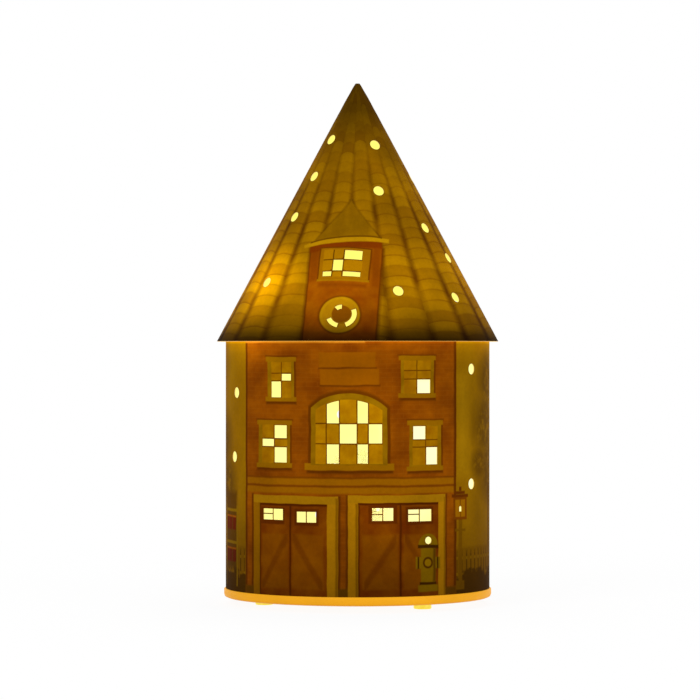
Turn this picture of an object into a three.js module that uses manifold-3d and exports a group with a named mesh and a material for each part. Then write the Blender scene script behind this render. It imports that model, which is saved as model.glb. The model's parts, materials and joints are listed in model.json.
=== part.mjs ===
// Table lamp in the form of a little fire station: a printed sheet with cut-out windows, rolled into a
// drum, stands on a moulded base, and a second sheet rolled into a cone is the lift-off roof.
// Millimetres, +Z up. The origin is on the ground under the middle, and the front faces -Y.
// Angles round the lamp are in degrees from the front, positive towards +X.
import * as THREE from 'three';
import { mergeVertices } from 'three/addons/utils/BufferGeometryUtils.js';
import Module from 'manifold-3d';

const wasm = await Module();
wasm.setup();

// Sheets: the drum wall and the roof
const SHEET = 0.5;
const DRUM_RADIUS = 75;
const DRUM_HEIGHT = 140;
const EAVES = 5;
const ROOF_RISE = 150;
const TIP_RADIUS = 1.7;
const LAP = 12;
const GLUE_LINE = 0.3;
const STAR_HOLE = 6;
const GLAZING_BAR = 0.6;

// Clearance between pieces that are fitted, glued or clamped together
const FIT = 0.3;

// Moulded base and its feet
const FOOT_HEIGHT = 4;
const FOOT_DIAMETER = 10;
const FOOT_RECESS = 0.5;
const FOOT_BEVEL = 0.8;
const FOOT_CIRCLE = 54;
const FOOT_ANGLES = [-78, 42, 162];
const BASE_THICKNESS = 5;
const BASE_LEDGE = 1;
const BASE_EDGE_LOW = 1.8;
const BASE_EDGE_HIGH = 0.8;
const SPIGOT_HEIGHT = 6;
const SPIGOT_WALL = 2;
const POCKET_DEPTH = 2.5;
const POCKET_MARGIN = 5;
const BASE_RIBS = 6;
const RIB_THICKNESS = 2;
const FOOT_BOSS = 14;

// Moulded ring that carries the roof
const RING_BORE = 57;
const RING_PLATE = 2.2;
const RING_SPIGOT = 2.8;

// Bulb holder on the middle of the base
const HOLDER_FLANGE = 21;
const HOLDER_DECK = 7;
const HOLDER_WALL = 4.5;
const HOLDER_HEIGHT = 27;
const HOLDER_EDGE = 1;
const CHAMBER_RADIUS = 6;
const CHAMBER_HEIGHT = 3;
const SHELL_WALL = 0.5;
const SHELL_HEIGHT = 15;
const SCREW_CIRCLE = 16.8;
const SCREW_SHANK = 1.5;
const SCREW_HEAD = 2.8;
const SCREW_HEAD_HEIGHT = 1.8;
const SCREW_BITE = 3;
const TERMINAL_SHANK = 1.2;
const TERMINAL_DEPTH = 4.5;
const STRIP_WIDTH = 5;
const STRIP = 0.5;
const STRIP_LEG = 7;
const TONGUE_RISE = 1.8;

// Bulb
const CAP_RADIUS = 6.9;
const CAP_HEIGHT = 16;
const CAP_WALL = 0.4;
const CAP_MOUTH = 4;
const CAP_SHOULDER = 1.4;
const INSULATOR_DROP = 0.8;
const TIP_CONTACT = 1;
const TIP_CONTACT_RADIUS = 1.8;
const GLOBE_RADIUS = 22.5;
const GLOBE_LIFT = 29;
const GLASS = 0.7;
const NECK_DEPTH = 3;
const STEM_HEIGHT = 13;
const STEM_RADIUS = 2.3;
const FILAMENT_RADIUS = 0.9;
const FILAMENT_COUNT = 4;
const FILAMENT_LOW_CIRCLE = 11.8;
const FILAMENT_TOP_CIRCLE = 4.2;
const FILAMENT_DROP = 13.5;
const FILAMENT_RISE = 27;
const WIRE_RADIUS = 0.35;

// Low-voltage inlet at the back
const INLET_HEIGHT = 9.5;
const INLET_WALL = 2.5;
const INLET_SETBACK = 7;
const BARREL_RADIUS = 4;
const BARREL_LENGTH = 10;
const JACK_FLANGE = 5.5;
const JACK_FLANGE_THICKNESS = 1.5;
const JACK_BORE = 2.8;
const JACK_DEPTH = 8.5;
const JACK_PIN = 1;
const NUT_ACROSS_FLATS = 11;
const NUT_THICKNESS = 2.5;
const TAG_WIDTH = 2.4;
const TAG_THICKNESS = 0.6;
const TAG_LENGTH = 5;
const TAG_SPREAD = 2.2;
const NOTCH_WIDTH = 15;
const LEAD_RADIUS = 0.9;
const LEAD_LOOP = 13;

// Facets round the lamp, round the holder, up the bulb's globe, round small pieces and round a punched hole
const FACETS = 64;
const HOLDER_FACETS = 24;
const GLOBE_FACETS = 10;
const SMALL_FACETS = 16;
const HOLE_FACETS = 12;

// Heights, radii and slopes that follow from the sizes above
const BASE_TOP = FOOT_HEIGHT + BASE_THICKNESS;
const BASE_RADIUS = DRUM_RADIUS + BASE_LEDGE;
const DRUM_TOP = BASE_TOP + DRUM_HEIGHT;
const SPIGOT_RADIUS = DRUM_RADIUS - SHEET - FIT;
const ROOF_RADIUS = DRUM_RADIUS + EAVES;
const ROOF_SLANT = Math.hypot(ROOF_RADIUS, ROOF_RISE);
const ROOF_SIN = ROOF_RADIUS / ROOF_SLANT;
const ROOF_COS = ROOF_RISE / ROOF_SLANT;
const TUCK = SHEET + GLUE_LINE;
const DECK_TOP = BASE_TOP + HOLDER_DECK;
const SHELL_OUTSIDE = CAP_RADIUS + FIT + SHELL_WALL;
const HOLDER_BORE = SHELL_OUTSIDE + FIT;
const HOLDER_RADIUS = HOLDER_BORE + HOLDER_WALL;
const CAP_BASE = DECK_TOP + CHAMBER_HEIGHT + TIP_CONTACT + INSULATOR_DROP;
const INLET_FACE = DRUM_RADIUS - INLET_SETBACK;
const INLET_CENTRE = BASE_TOP + INLET_HEIGHT;
const LEAD_START = INLET_FACE - BARREL_LENGTH - TAG_LENGTH - 2 * FIT;
const LEAD_END = HOLDER_FLANGE - HOLDER_EDGE + FIT;
const LEAD_FLOOR = BASE_TOP + LEAD_RADIUS + 2 * FIT;
const LEAD_TOP = DECK_TOP + STRIP + LEAD_RADIUS;
const STEP_ANGLE = 360 / FACETS;
const DRUM_SEAM = 25 * STEP_ANGLE;
const ROOF_SEAM = 180;
const INLET_ANGLE = -180;

// Cut-outs of the drum sheet. Its x runs round the wall from the front, and its y up from the base.
// A window lists its pane widths and heights, and the panes that are open: [column, row, rows spanned].
const TOP_STOREY = DRUM_HEIGHT - 31.3;
const MIDDLE_STOREY = 72.9;
const DOOR_LIGHTS = 40.9;
const WINDOWS = [
  { left: -51.6, sill: TOP_STOREY, widths: [7.1, 6.5], heights: [9.25, 4.2], open: [[0, 0], [1, 1]] },
  { left: 33.6, sill: TOP_STOREY + 2.4, widths: [8.7], heights: [8], open: [[0, 0]] },
  { left: -58.4, sill: MIDDLE_STOREY, widths: [9, 8.7], heights: [8.9, 4.5, 7.6],
    open: [[1, 0], [0, 1], [1, 2]] },
  { left: 31.1, sill: MIDDLE_STOREY - 1, widths: [8.1, 7.8], heights: [10, 3.9, 7.7],
    open: [[1, 0], [0, 2]] },
  { left: -57.5, sill: DOOR_LIGHTS + 0.4, widths: [7.3, 7], heights: [3.6, 3],
    open: [[0, 0], [0, 1], [1, 0, 2]] },
  { left: -34.8, sill: DOOR_LIGHTS - 0.6, widths: [6, 6], heights: [6.4], open: [[0, 0], [1, 0]] },
  { left: 7.7, sill: DOOR_LIGHTS + 0.5, widths: [6.1, 6.2], heights: [3.8, 3.7],
    open: [[0, 0], [0, 1], [1, 0, 2]] },
  { left: 28.1, sill: DOOR_LIGHTS - 0.1, widths: [7, 7.9], heights: [4.2, 2.9],
    open: [[0, 0], [0, 1], [1, 0, 2]] },
];
const ARCHED_WINDOW = {
  left: -17.2, sill: MIDDLE_STOREY - 0.2, widths: [7.2, 9.7, 6.2, 7.8], heights: [11, 11, 13],
  open: [[0, 0], [2, 0], [1, 1], [3, 1], [0, 2], [2, 2]],
};
const ARCH_CENTRE = -5;
const ARCH_RADIUS = 32;
const ARCH_RISE = 35.3;
const PEEP_HOLE = { x: 40.8, y: 30.5, diameter: 4 };
const LANTERN_LIGHT = { x: 64.6, y: 45.6, width: 1.9, height: 3 };
const DRUM_STARS = [
  [57.6, 124.4], [57.6, 60.5], [-64.3, 111.2], [-66.6, 75.3], [-172.8, 96.9], [-162.6, 37.6],
  [-118, 124], [-139, 97], [-108, 52], [-195, 118], [-202, 66], [121, 92], [112, 48],
];

// Cut-outs of the roof sheet. The point of the flat fan is at the origin, and its hem is at y = -slant.
// Windows and slots have places of their own there, and star holes are [angle, distance from the point].
const DORMER = { x: -7.4, y: -121, turn: -5.5 };
const DORMER_WINDOW = {
  left: -11.8, sill: -8.5, widths: [5.4, 5.9, 10.3], heights: [3.5, 7.3, 6.2],
  open: [[0, 0], [2, 0], [1, 1], [2, 2]],
};
const ROUNDEL = { x: -9, y: -153, inner: 5.9, outer: 8.5 };
const ROUNDEL_SLOTS = [
  { from: -71, to: 21, inwards: 0 },
  { from: 198, to: 253, inwards: 0 },
  { from: 86, to: 128, inwards: 2.7 },
];
const ROOF_STARS = [
  [-51.6, 40.7], [28, 44.6], [-53.7, 64.7], [85, 65], [19.5, 74.8], [-56, 90.9], [55.3, 98],
  [67.9, 116.9], [-54, 132.9], [20, 138.8], [54.3, 142.4], [122.4, 146],
  [-112, 60], [148, 62], [-145, 92], [126, 104], [-108, 126], [158, 122], [-152, 140],
];

const radians = THREE.MathUtils.degToRad;
const degrees = THREE.MathUtils.radToDeg;

// Solids from meshes, and meshes from solids
function toSolid(geometry) {
  const bare = geometry.clone();
  bare.deleteAttribute('normal');
  bare.deleteAttribute('uv');
  const merged = mergeVertices(bare);
  const corners = merged.index.array;
  const whole = [];
  for (let i = 0; i < corners.length; i += 3) {
    const [a, b, c] = [corners[i], corners[i + 1], corners[i + 2]];
    if (a !== b && b !== c && c !== a) whole.push(a, b, c);
  }
  return new wasm.Manifold(new wasm.Mesh({
    numProp: 3,
    vertProperties: new Float32Array(merged.attributes.position.array),
    triVerts: new Uint32Array(whole),
  }));
}

function toGeometry(solid) {
  const { vertProperties, triVerts } = solid.getMesh();
  const geometry = new THREE.BufferGeometry();
  geometry.setAttribute('position', new THREE.BufferAttribute(vertProperties, 3));
  geometry.setIndex(new THREE.BufferAttribute(triVerts, 1));
  return geometry;
}

function joined(geometries) {
  return geometries.map(toSolid).reduce((whole, next) => whole.add(next));
}

function cut(body, cutters) {
  return toGeometry(toSolid(body).subtract(joined(cutters)));
}

// Moves every corner of a geometry to where the given function of x, y and z puts it.
function reshape(geometry, move) {
  const position = geometry.attributes.position;
  for (let i = 0; i < position.count; i += 1) {
    const [x, y, z] = move(position.getX(i), position.getY(i), position.getZ(i));
    position.setXYZ(i, x, y, z);
  }
  return geometry;
}

// Turned piece: profile corners are [radius, height], up on the outside and down on the inside.
function turned(profile, facets = SMALL_FACETS) {
  const corners = profile.map(([radius, height]) => new THREE.Vector2(radius, height));
  if (profile[0][0] > 0) corners.push(corners[0].clone());
  return new THREE.LatheGeometry(corners, facets).rotateX(Math.PI / 2);
}

// Upright prism over a flat outline of [x, y] corners
function prism(corners, low, high) {
  const outline = new THREE.Shape(corners.map(([x, y]) => new THREE.Vector2(x, y)));
  const body = new THREE.ExtrudeGeometry(outline, { depth: high - low, bevelEnabled: false });
  return body.translate(0, 0, low);
}

function box(low, high) {
  const size = high.map((end, i) => end - low[i]);
  const middle = high.map((end, i) => (end + low[i]) / 2);
  return new THREE.BoxGeometry(...size).translate(...middle);
}

// Turn that takes the length of a round primitive, which is along y, to the given direction
function uprightTo(direction) {
  const start = new THREE.Vector3(0, 1, 0);
  return new THREE.Quaternion().setFromUnitVectors(start, direction.clone().normalize());
}

// Straight round bar between two points
function bar(from, to, radius, facets = 6) {
  const along = new THREE.Vector3().subVectors(to, from);
  const middle = new THREE.Vector3().addVectors(to, from).multiplyScalar(0.5);
  const body = new THREE.CylinderGeometry(radius, radius, along.length(), facets);
  return body.applyQuaternion(uprightTo(along)).translate(middle.x, middle.y, middle.z);
}

function circle(x, y, radius, facets) {
  return Array.from({ length: facets }, (_, i) => {
    const turn = (2 * Math.PI * i) / facets;
    return [x + radius * Math.cos(turn), y + radius * Math.sin(turn)];
  });
}

// Quarter round of a profile: [radius, height] corners from one direction to 90 degrees further
function quarter(radius, height, size, from) {
  return [0, 45, 90].map((turn) => [
    radius + size * Math.cos(radians(from + turn)),
    height + size * Math.sin(radians(from + turn)),
  ]);
}

// Place on the ground plan at an angle from the front
function around(angle, radius) {
  return [radius * Math.sin(radians(angle)), -radius * Math.cos(radians(angle))];
}

// Outline of a ring sector round the lamp's middle, between two angles from the front
function sector(inner, outer, from, to) {
  const steps = Math.ceil((to - from) / STEP_ANGLE);
  const sweep = Array.from({ length: steps + 1 }, (_, i) => from + ((to - from) * i) / steps);
  const outside = sweep.map((angle) => around(angle, outer));
  const inside = sweep.map((angle) => around(angle, inner));
  return [...outside, ...inside.reverse()];
}

// Sums of a list of widths, starting from 0
function edges(widths) {
  return widths.reduce((sums, width) => [...sums, sums[sums.length - 1] + width], [0]);
}

// Rolling a sheet. Its lapped end steps inwards just before the seam, by a sheet and the glue line.
function tuckDepth(angle, seam) {
  const share = (angle - seam) / STEP_ANGLE + 1;
  return -TUCK * THREE.MathUtils.clamp(share, 0, 1);
}

// A point of the flat drum sheet, at a depth from the outer face (- is inwards), in its rolled place
function rollDrum(x, y, depth) {
  const angle = degrees(x / DRUM_RADIUS);
  const radius = DRUM_RADIUS + depth + tuckDepth(angle, DRUM_SEAM);
  return [...around(angle, radius), BASE_TOP + y];
}

// The same for the flat fan of the roof: distances from its point and along its arcs stay as drawn.
function rollRoof(x, y, depth) {
  const slant = Math.hypot(x, y);
  const angle = degrees(Math.atan2(x, -y) / ROOF_SIN);
  const out = depth + tuckDepth(angle, ROOF_SEAM);
  const height = DRUM_TOP + ROOF_RISE - slant * ROOF_COS + out * ROOF_SIN;
  return [...around(angle, slant * ROOF_SIN + out * ROOF_COS), height];
}

// Flat point of the roof fan at an angle round the lamp and a distance from the point
function onFan(angle, slant) {
  return around(angle * ROOF_SIN, slant);
}

// A sheet as a grid of facets: all the way round, and the lap beyond the seam
function rolledSheet(seam, lapAngle, rows, flatten, roll) {
  const whole = Array.from({ length: FACETS + 1 }, (_, i) => seam - 360 + i * STEP_ANGLE);
  const lapSteps = Math.ceil(lapAngle / STEP_ANGLE);
  const lap = Array.from({ length: lapSteps }, (_, i) => seam + (lapAngle * (i + 1)) / lapSteps);
  const columns = [...whole, ...lap];
  const across = columns.length - 1;
  const grid = new THREE.BoxGeometry(across, 1, 1, across, 1, 1).translate(across / 2, 1 / 2, 0);
  return reshape(grid, (column, row, side) => {
    const [x, y] = flatten(columns[Math.round(column)], rows[Math.round(row)]);
    return roll(x, y, side > 0 ? 0 : -SHEET);
  });
}

// Cuts flat outlines out of a rolled sheet with cutters that are rolled the same way.
function cutSheet(blank, outlines, roll) {
  const proud = 2 * SHEET;
  return cut(blank, outlines.map((corners) => reshape(prism(corners, -SHEET - proud, proud), roll)));
}

// The open panes of a window, each half a glazing bar inside its cell
function panes(window) {
  const across = edges(window.widths);
  const up = edges(window.heights);
  const half = GLAZING_BAR / 2;
  return window.open.map(([column, row, span = 1]) => ({
    left: window.left + across[column] + half,
    right: window.left + across[column + 1] - half,
    low: window.sill + up[row] + half,
    high: window.sill + up[row + span] - half,
    top: row + span === window.heights.length,
  }));
}

function squarePane({ left, right, low, high }) {
  return [[left, low], [right, low], [right, high], [left, high]];
}

// Height of the round head over the arched window's panes, at a place along the wall
function archHead(x) {
  const rise = ARCH_RISE - ARCH_RADIUS + Math.sqrt(ARCH_RADIUS ** 2 - (x - ARCH_CENTRE) ** 2);
  return ARCHED_WINDOW.sill + rise - GLAZING_BAR / 2;
}

function archedPane(pane) {
  if (!pane.top) return squarePane(pane);
  const head = [0, 1 / 3, 2 / 3, 1].map((share) => pane.right + (pane.left - pane.right) * share);
  return [[pane.left, pane.low], [pane.right, pane.low], ...head.map((x) => [x, archHead(x)])];
}

// Round-topped opening: its sill, two sides and a half circle of the given steps
function roundTopped(middle, low, width, spring, steps) {
  const half = width / 2;
  const head = Array.from({ length: steps + 1 }, (_, i) => {
    const turn = (Math.PI * i) / steps;
    return [middle + half * Math.cos(turn), spring + half * Math.sin(turn)];
  });
  return [[middle - half, low], [middle + half, low], ...head];
}

function drumSheet() {
  const onWall = (angle, height) => [radians(angle) * DRUM_RADIUS, height];
  const blank = rolledSheet(DRUM_SEAM, degrees(LAP / DRUM_RADIUS), [0, DRUM_HEIGHT], onWall, rollDrum);
  const { x, y, width, height } = LANTERN_LIGHT;
  return cutSheet(blank, [
    ...WINDOWS.flatMap(panes).map(squarePane),
    ...panes(ARCHED_WINDOW).map(archedPane),
    ...DRUM_STARS.map(([angle, up]) => circle(...onWall(angle, up), STAR_HOLE / 2, HOLE_FACETS)),
    circle(PEEP_HOLE.x, PEEP_HOLE.y, PEEP_HOLE.diameter / 2, HOLE_FACETS),
    roundTopped(x, y, width, y + height - width / 2, 6),
    roundTopped(onWall(INLET_ANGLE)[0], -1, NOTCH_WIDTH, INLET_HEIGHT, SMALL_FACETS / 2),
  ], rollDrum);
}

// Corners drawn round the dormer window's middle, turned and moved into place on the fan
function onDormer(corners) {
  const turn = radians(DORMER.turn);
  return corners.map(([x, y]) => [
    DORMER.x + x * Math.cos(turn) - y * Math.sin(turn),
    DORMER.y + x * Math.sin(turn) + y * Math.cos(turn),
  ]);
}

// Curved slot of the roundel, between two angles from the right and its two radii
function roundelSlot({ from, to, inwards }) {
  const steps = Math.ceil((to - from) / 15);
  const sweep = Array.from({ length: steps + 1 }, (_, i) => radians(from + ((to - from) * i) / steps));
  const at = (radius) => (angle) => [
    ROUNDEL.x + (radius - inwards) * Math.cos(angle),
    ROUNDEL.y + (radius - inwards) * Math.sin(angle),
  ];
  return [...sweep.map(at(ROUNDEL.outer)), ...sweep.reverse().map(at(ROUNDEL.inner))];
}

function roofCone() {
  const rows = [ROOF_SLANT, TIP_RADIUS / ROOF_SIN];
  const blank = rolledSheet(ROOF_SEAM, degrees(LAP / ROOF_RADIUS), rows, onFan, rollRoof);
  return cutSheet(blank, [
    ...panes(DORMER_WINDOW).map(squarePane).map(onDormer),
    ...ROUNDEL_SLOTS.map(roundelSlot),
    ...ROOF_STARS.map(([angle, slant]) => circle(...onFan(angle, slant), STAR_HOLE / 2, HOLE_FACETS)),
  ], rollRoof);
}

// What fits inside a sheet is cut back to the given radius along the sheet's lap.
function lapRelief(seam, sheetRadius, radius, low, high) {
  const margin = degrees(1 / radius);
  const to = seam + degrees(LAP / sheetRadius) + margin;
  return prism(sector(radius, radius + 3 * TUCK, seam - STEP_ANGLE - margin, to), low, high);
}

function basePlate() {
  const inner = SPIGOT_RADIUS - SPIGOT_WALL;
  const disc = turned([
    [0, FOOT_HEIGHT],
    ...quarter(BASE_RADIUS - BASE_EDGE_LOW, FOOT_HEIGHT + BASE_EDGE_LOW, BASE_EDGE_LOW, -90),
    ...quarter(BASE_RADIUS - BASE_EDGE_HIGH, BASE_TOP - BASE_EDGE_HIGH, BASE_EDGE_HIGH, 0),
    [SPIGOT_RADIUS, BASE_TOP],
    [SPIGOT_RADIUS, BASE_TOP + SPIGOT_HEIGHT],
    [inner, BASE_TOP + SPIGOT_HEIGHT],
    [inner, BASE_TOP],
    [0, BASE_TOP],
  ], FACETS);
  const half = NOTCH_WIDTH / 2 + INLET_WALL;
  const plugAngle = degrees(half / SPIGOT_RADIUS);
  const wallTop = INLET_CENTRE + JACK_FLANGE + INLET_WALL;
  const wall = box([-half, INLET_FACE - INLET_WALL, BASE_TOP - 1], [half, INLET_FACE, wallTop]);
  const plug = sector(INLET_FACE + 1, SPIGOT_RADIUS + 1, INLET_ANGLE - plugAngle, INLET_ANGLE + plugAngle);
  const inside = new THREE.Vector3(0, INLET_FACE - 2 * INLET_WALL, INLET_CENTRE);
  const outside = new THREE.Vector3(0, INLET_FACE + 1, INLET_CENTRE);
  const recesses = FOOT_ANGLES.map((angle) => {
    const outline = circle(...around(angle, FOOT_CIRCLE), FOOT_DIAMETER / 2 + FIT, SMALL_FACETS);
    return prism(outline, 0, FOOT_HEIGHT + FOOT_RECESS);
  });
  const screwHoles = [-1, 1].map((side) => {
    const outline = circle(side * SCREW_CIRCLE, 0, SCREW_SHANK + FIT, HOLE_FACETS);
    return prism(outline, BASE_TOP - SCREW_BITE - FIT, DECK_TOP);
  });
  return toGeometry(joined([disc, wall]).subtract(joined([
    lapRelief(DRUM_SEAM, DRUM_RADIUS, SPIGOT_RADIUS - TUCK, BASE_TOP, BASE_TOP + SPIGOT_HEIGHT + 1),
    prism(plug, BASE_TOP, DRUM_TOP),
    bar(inside, outside, BARREL_RADIUS + FIT, SMALL_FACETS),
    ...recesses,
    ...screwHoles,
  ])).subtract(undersidePockets()));
}

// Pockets under the base, between its rim, its hub, the ribs and a boss round each foot
function undersidePockets() {
  const low = FOOT_HEIGHT - 1;
  const high = FOOT_HEIGHT + POCKET_DEPTH;
  const inner = HOLDER_FLANGE + POCKET_MARGIN;
  const outer = BASE_RADIUS - POCKET_MARGIN;
  const hollow = turned([[inner, low], [outer, low], [outer, high], [inner, high]], FACETS / 2);
  const ribs = Array.from({ length: BASE_RIBS }, (_, i) => {
    const turn = radians(FOOT_ANGLES[0] + (360 * i) / BASE_RIBS);
    return box([-RIB_THICKNESS / 2, -BASE_RADIUS, low], [RIB_THICKNESS / 2, 0, high]).rotateZ(turn);
  });
  const bosses = FOOT_ANGLES.map((angle) => (
    prism(circle(...around(angle, FOOT_CIRCLE), FOOT_BOSS / 2, SMALL_FACETS), low, high)));
  return toSolid(hollow).subtract(joined([...ribs, ...bosses]));
}

function foot() {
  const radius = FOOT_DIAMETER / 2;
  return turned([[0, 0], [radius - FOOT_BEVEL, 0], [radius - FOOT_BEVEL / 4, FOOT_BEVEL / 4],
    [radius, FOOT_BEVEL], [radius, FOOT_HEIGHT + FOOT_RECESS], [0, FOOT_HEIGHT + FOOT_RECESS]]);
}

// Ring inside the hem: its rebate sits on the drum, and its bevelled rim is glued to the cone.
function roofRing() {
  const low = DRUM_TOP - RING_SPIGOT;
  const high = DRUM_TOP + RING_PLATE;
  const rim = (over) => ROOF_RADIUS - (over * ROOF_SIN + SHEET + GLUE_LINE) / ROOF_COS;
  const ring = turned([[RING_BORE, low], [SPIGOT_RADIUS, low], [SPIGOT_RADIUS, DRUM_TOP],
    [rim(0), DRUM_TOP], [rim(RING_PLATE), high], [RING_BORE, high]], FACETS);
  return cut(ring, [
    lapRelief(DRUM_SEAM, DRUM_RADIUS, SPIGOT_RADIUS - TUCK, low - 1, DRUM_TOP),
    lapRelief(ROOF_SEAM, ROOF_RADIUS, rim(RING_PLATE) - TUCK / ROOF_COS, DRUM_TOP - FIT, high + 1),
  ]);
}

// Bulb holder: a flange with two screws and two terminals, and a column bored for the shell
function holderBody() {
  const top = BASE_TOP + HOLDER_HEIGHT;
  const ledge = DECK_TOP + CHAMBER_HEIGHT;
  const body = turned([
    [0, BASE_TOP], [HOLDER_FLANGE, BASE_TOP], [HOLDER_FLANGE, DECK_TOP - HOLDER_EDGE],
    [HOLDER_FLANGE - HOLDER_EDGE, DECK_TOP], [HOLDER_RADIUS, DECK_TOP],
    [HOLDER_RADIUS, top - HOLDER_EDGE], [HOLDER_RADIUS - HOLDER_EDGE, top], [HOLDER_BORE, top],
    [HOLDER_BORE, ledge], [CHAMBER_RADIUS, ledge], [CHAMBER_RADIUS, DECK_TOP], [0, DECK_TOP],
  ], HOLDER_FACETS);
  const half = STRIP_WIDTH / 2 + FIT;
  const legBack = SHELL_OUTSIDE + 2 * FIT + STRIP;
  const reach = HOLDER_RADIUS + 1;
  const holes = [-1, 1].flatMap((side) => {
    const mounting = circle(side * SCREW_CIRCLE, 0, SCREW_SHANK + FIT, HOLE_FACETS);
    const terminal = circle(0, side * SCREW_CIRCLE, TERMINAL_SHANK + FIT, HOLE_FACETS);
    const depth = TERMINAL_DEPTH + FIT;
    return [prism(mounting, 0, DECK_TOP + 1), prism(terminal, DECK_TOP - depth, DECK_TOP + 1)];
  });
  return cut(body, [
    box([-half, -reach, DECK_TOP - FIT], [half, reach, DECK_TOP + STRIP + FIT]),
    box([-half, -legBack, DECK_TOP - FIT], [half, 0, DECK_TOP + STRIP_LEG + FIT]),
    ...holes,
  ]);
}

function holderShell() {
  const low = DECK_TOP + CHAMBER_HEIGHT;
  const inside = SHELL_OUTSIDE - SHELL_WALL;
  return turned([[inside, low], [SHELL_OUTSIDE, low], [SHELL_OUTSIDE, low + SHELL_HEIGHT],
    [inside, low + SHELL_HEIGHT]], HOLDER_FACETS);
}

// Bent strip: an outline of [distance from the middle, height] corners, as wide as the strip
function strip(profile, side) {
  const body = prism(profile, -STRIP_WIDTH / 2, STRIP_WIDTH / 2);
  body.rotateX(Math.PI / 2).rotateZ(side * Math.PI / 2).translate(0, 0, DECK_TOP);
  const hole = circle(0, side * SCREW_CIRCLE, TERMINAL_SHANK + FIT, HOLE_FACETS);
  return cut(body, [prism(hole, DECK_TOP - 1, DECK_TOP + 2 * STRIP)]);
}

// Springy tongue under the bulb's tip, from the terminal at the back
function centreContact() {
  const end = HOLDER_FLANGE - HOLDER_EDGE;
  const tip = CHAMBER_RADIUS / 2;
  const rise = TONGUE_RISE + STRIP;
  return strip([
    [tip - 1, 0], [end, 0], [end, STRIP], [tip, STRIP], [-tip, rise], [-tip - STRIP, rise - STRIP],
  ], 1);
}

// Angle strip from the terminal at the front, whose leg stands against the shell
function shellContact() {
  const end = HOLDER_FLANGE - HOLDER_EDGE;
  const leg = SHELL_OUTSIDE + FIT;
  return strip([
    [leg, 0], [end, 0], [end, STRIP], [leg + STRIP, STRIP], [leg + STRIP, STRIP_LEG], [leg, STRIP_LEG],
  ], -1);
}

// Pan-head screw: its head sits at height 0 and its shank goes down.
function screw(shank, length) {
  const top = SCREW_HEAD_HEIGHT;
  const edge = top / 3;
  const reach = SCREW_HEAD + 1;
  const body = turned([[0, -length], [shank / 2, -length], [shank, -length + shank], [shank, 0],
    [SCREW_HEAD, 0], [SCREW_HEAD, top - edge], [SCREW_HEAD - edge, top], [0, top]]);
  return cut(body, [box([-reach, -edge / 2, top / 2], [reach, edge / 2, top + 1])]);
}

// Bulb, from the bottom of its metal cap. The cap is a cup with a round mouth for the insulator.
function bulbCap() {
  const inside = CAP_RADIUS - CAP_WALL;
  return turned([[CAP_MOUTH, 0], [CAP_RADIUS - CAP_SHOULDER, 0], [CAP_RADIUS, CAP_SHOULDER],
    [CAP_RADIUS, CAP_HEIGHT], [inside, CAP_HEIGHT], [inside, CAP_SHOULDER + CAP_WALL],
    [inside - CAP_SHOULDER, CAP_WALL], [CAP_MOUTH, CAP_WALL]], HOLDER_FACETS);
}

function bulbInsulator() {
  const radius = CAP_MOUTH - FIT;
  return turned([[0, -INSULATOR_DROP], [TIP_CONTACT_RADIUS + FIT, -INSULATOR_DROP], [radius, 0],
    [radius, CAP_SHOULDER], [0, CAP_SHOULDER]]);
}

function bulbTip() {
  const low = -INSULATOR_DROP - TIP_CONTACT;
  return turned([[0, low], [TIP_CONTACT_RADIUS / 2, low], [TIP_CONTACT_RADIUS, low + TIP_CONTACT / 2],
    [TIP_CONTACT_RADIUS, -INSULATOR_DROP], [0, -INSULATOR_DROP]]);
}

// Profile of the bulb's glass: the neck inside the cap, a curved shoulder and the round globe
function globeProfile(globe, neck) {
  const centre = CAP_HEIGHT + GLOBE_LIFT;
  const shoulder = radians(38);
  const joint = new THREE.Vector2(globe * Math.sin(shoulder), centre - globe * Math.cos(shoulder));
  const bend = new THREE.Vector2(neck, joint.y - (joint.x - neck) * Math.tan(shoulder));
  const curve = new THREE.QuadraticBezierCurve(new THREE.Vector2(neck, CAP_HEIGHT), bend, joint);
  const round = Array.from({ length: GLOBE_FACETS - 1 }, (_, i) => {
    const turn = shoulder + ((Math.PI - shoulder) * (i + 1)) / GLOBE_FACETS;
    return [globe * Math.sin(turn), centre - globe * Math.cos(turn)];
  });
  const flank = curve.getPoints(4).map(({ x, y }) => [x, y]);
  return [[neck, CAP_HEIGHT - NECK_DEPTH], ...flank, ...round, [0, centre + globe]];
}

function bulbGlass() {
  const neck = CAP_RADIUS - CAP_WALL - FIT;
  const outer = globeProfile(GLOBE_RADIUS, neck);
  const inner = globeProfile(GLOBE_RADIUS - GLASS, neck - GLASS);
  return turned([...inner.reverse(), ...outer], HOLDER_FACETS);
}

function bulbStem() {
  const flare = CAP_RADIUS - CAP_WALL - GLASS - 2 * FIT;
  const low = CAP_HEIGHT - NECK_DEPTH;
  const top = CAP_HEIGHT + STEM_HEIGHT;
  return turned([[0, low], [flare, low], [flare, low + 1], [STEM_RADIUS + 1, low + 4],
    [STEM_RADIUS, low + 7], [STEM_RADIUS, top - 3], [STEM_RADIUS / 2, top], [0, top]]);
}

// Ends of the light sticks, which lean in towards the top
function filamentEnd(index, circleRadius, height) {
  const [x, y] = around((360 * index) / FILAMENT_COUNT, circleRadius);
  return new THREE.Vector3(x, y, height);
}

const FILAMENT_LOW = CAP_HEIGHT + GLOBE_LIFT - FILAMENT_DROP;
const FILAMENT_TOP = FILAMENT_LOW + FILAMENT_RISE;

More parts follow.
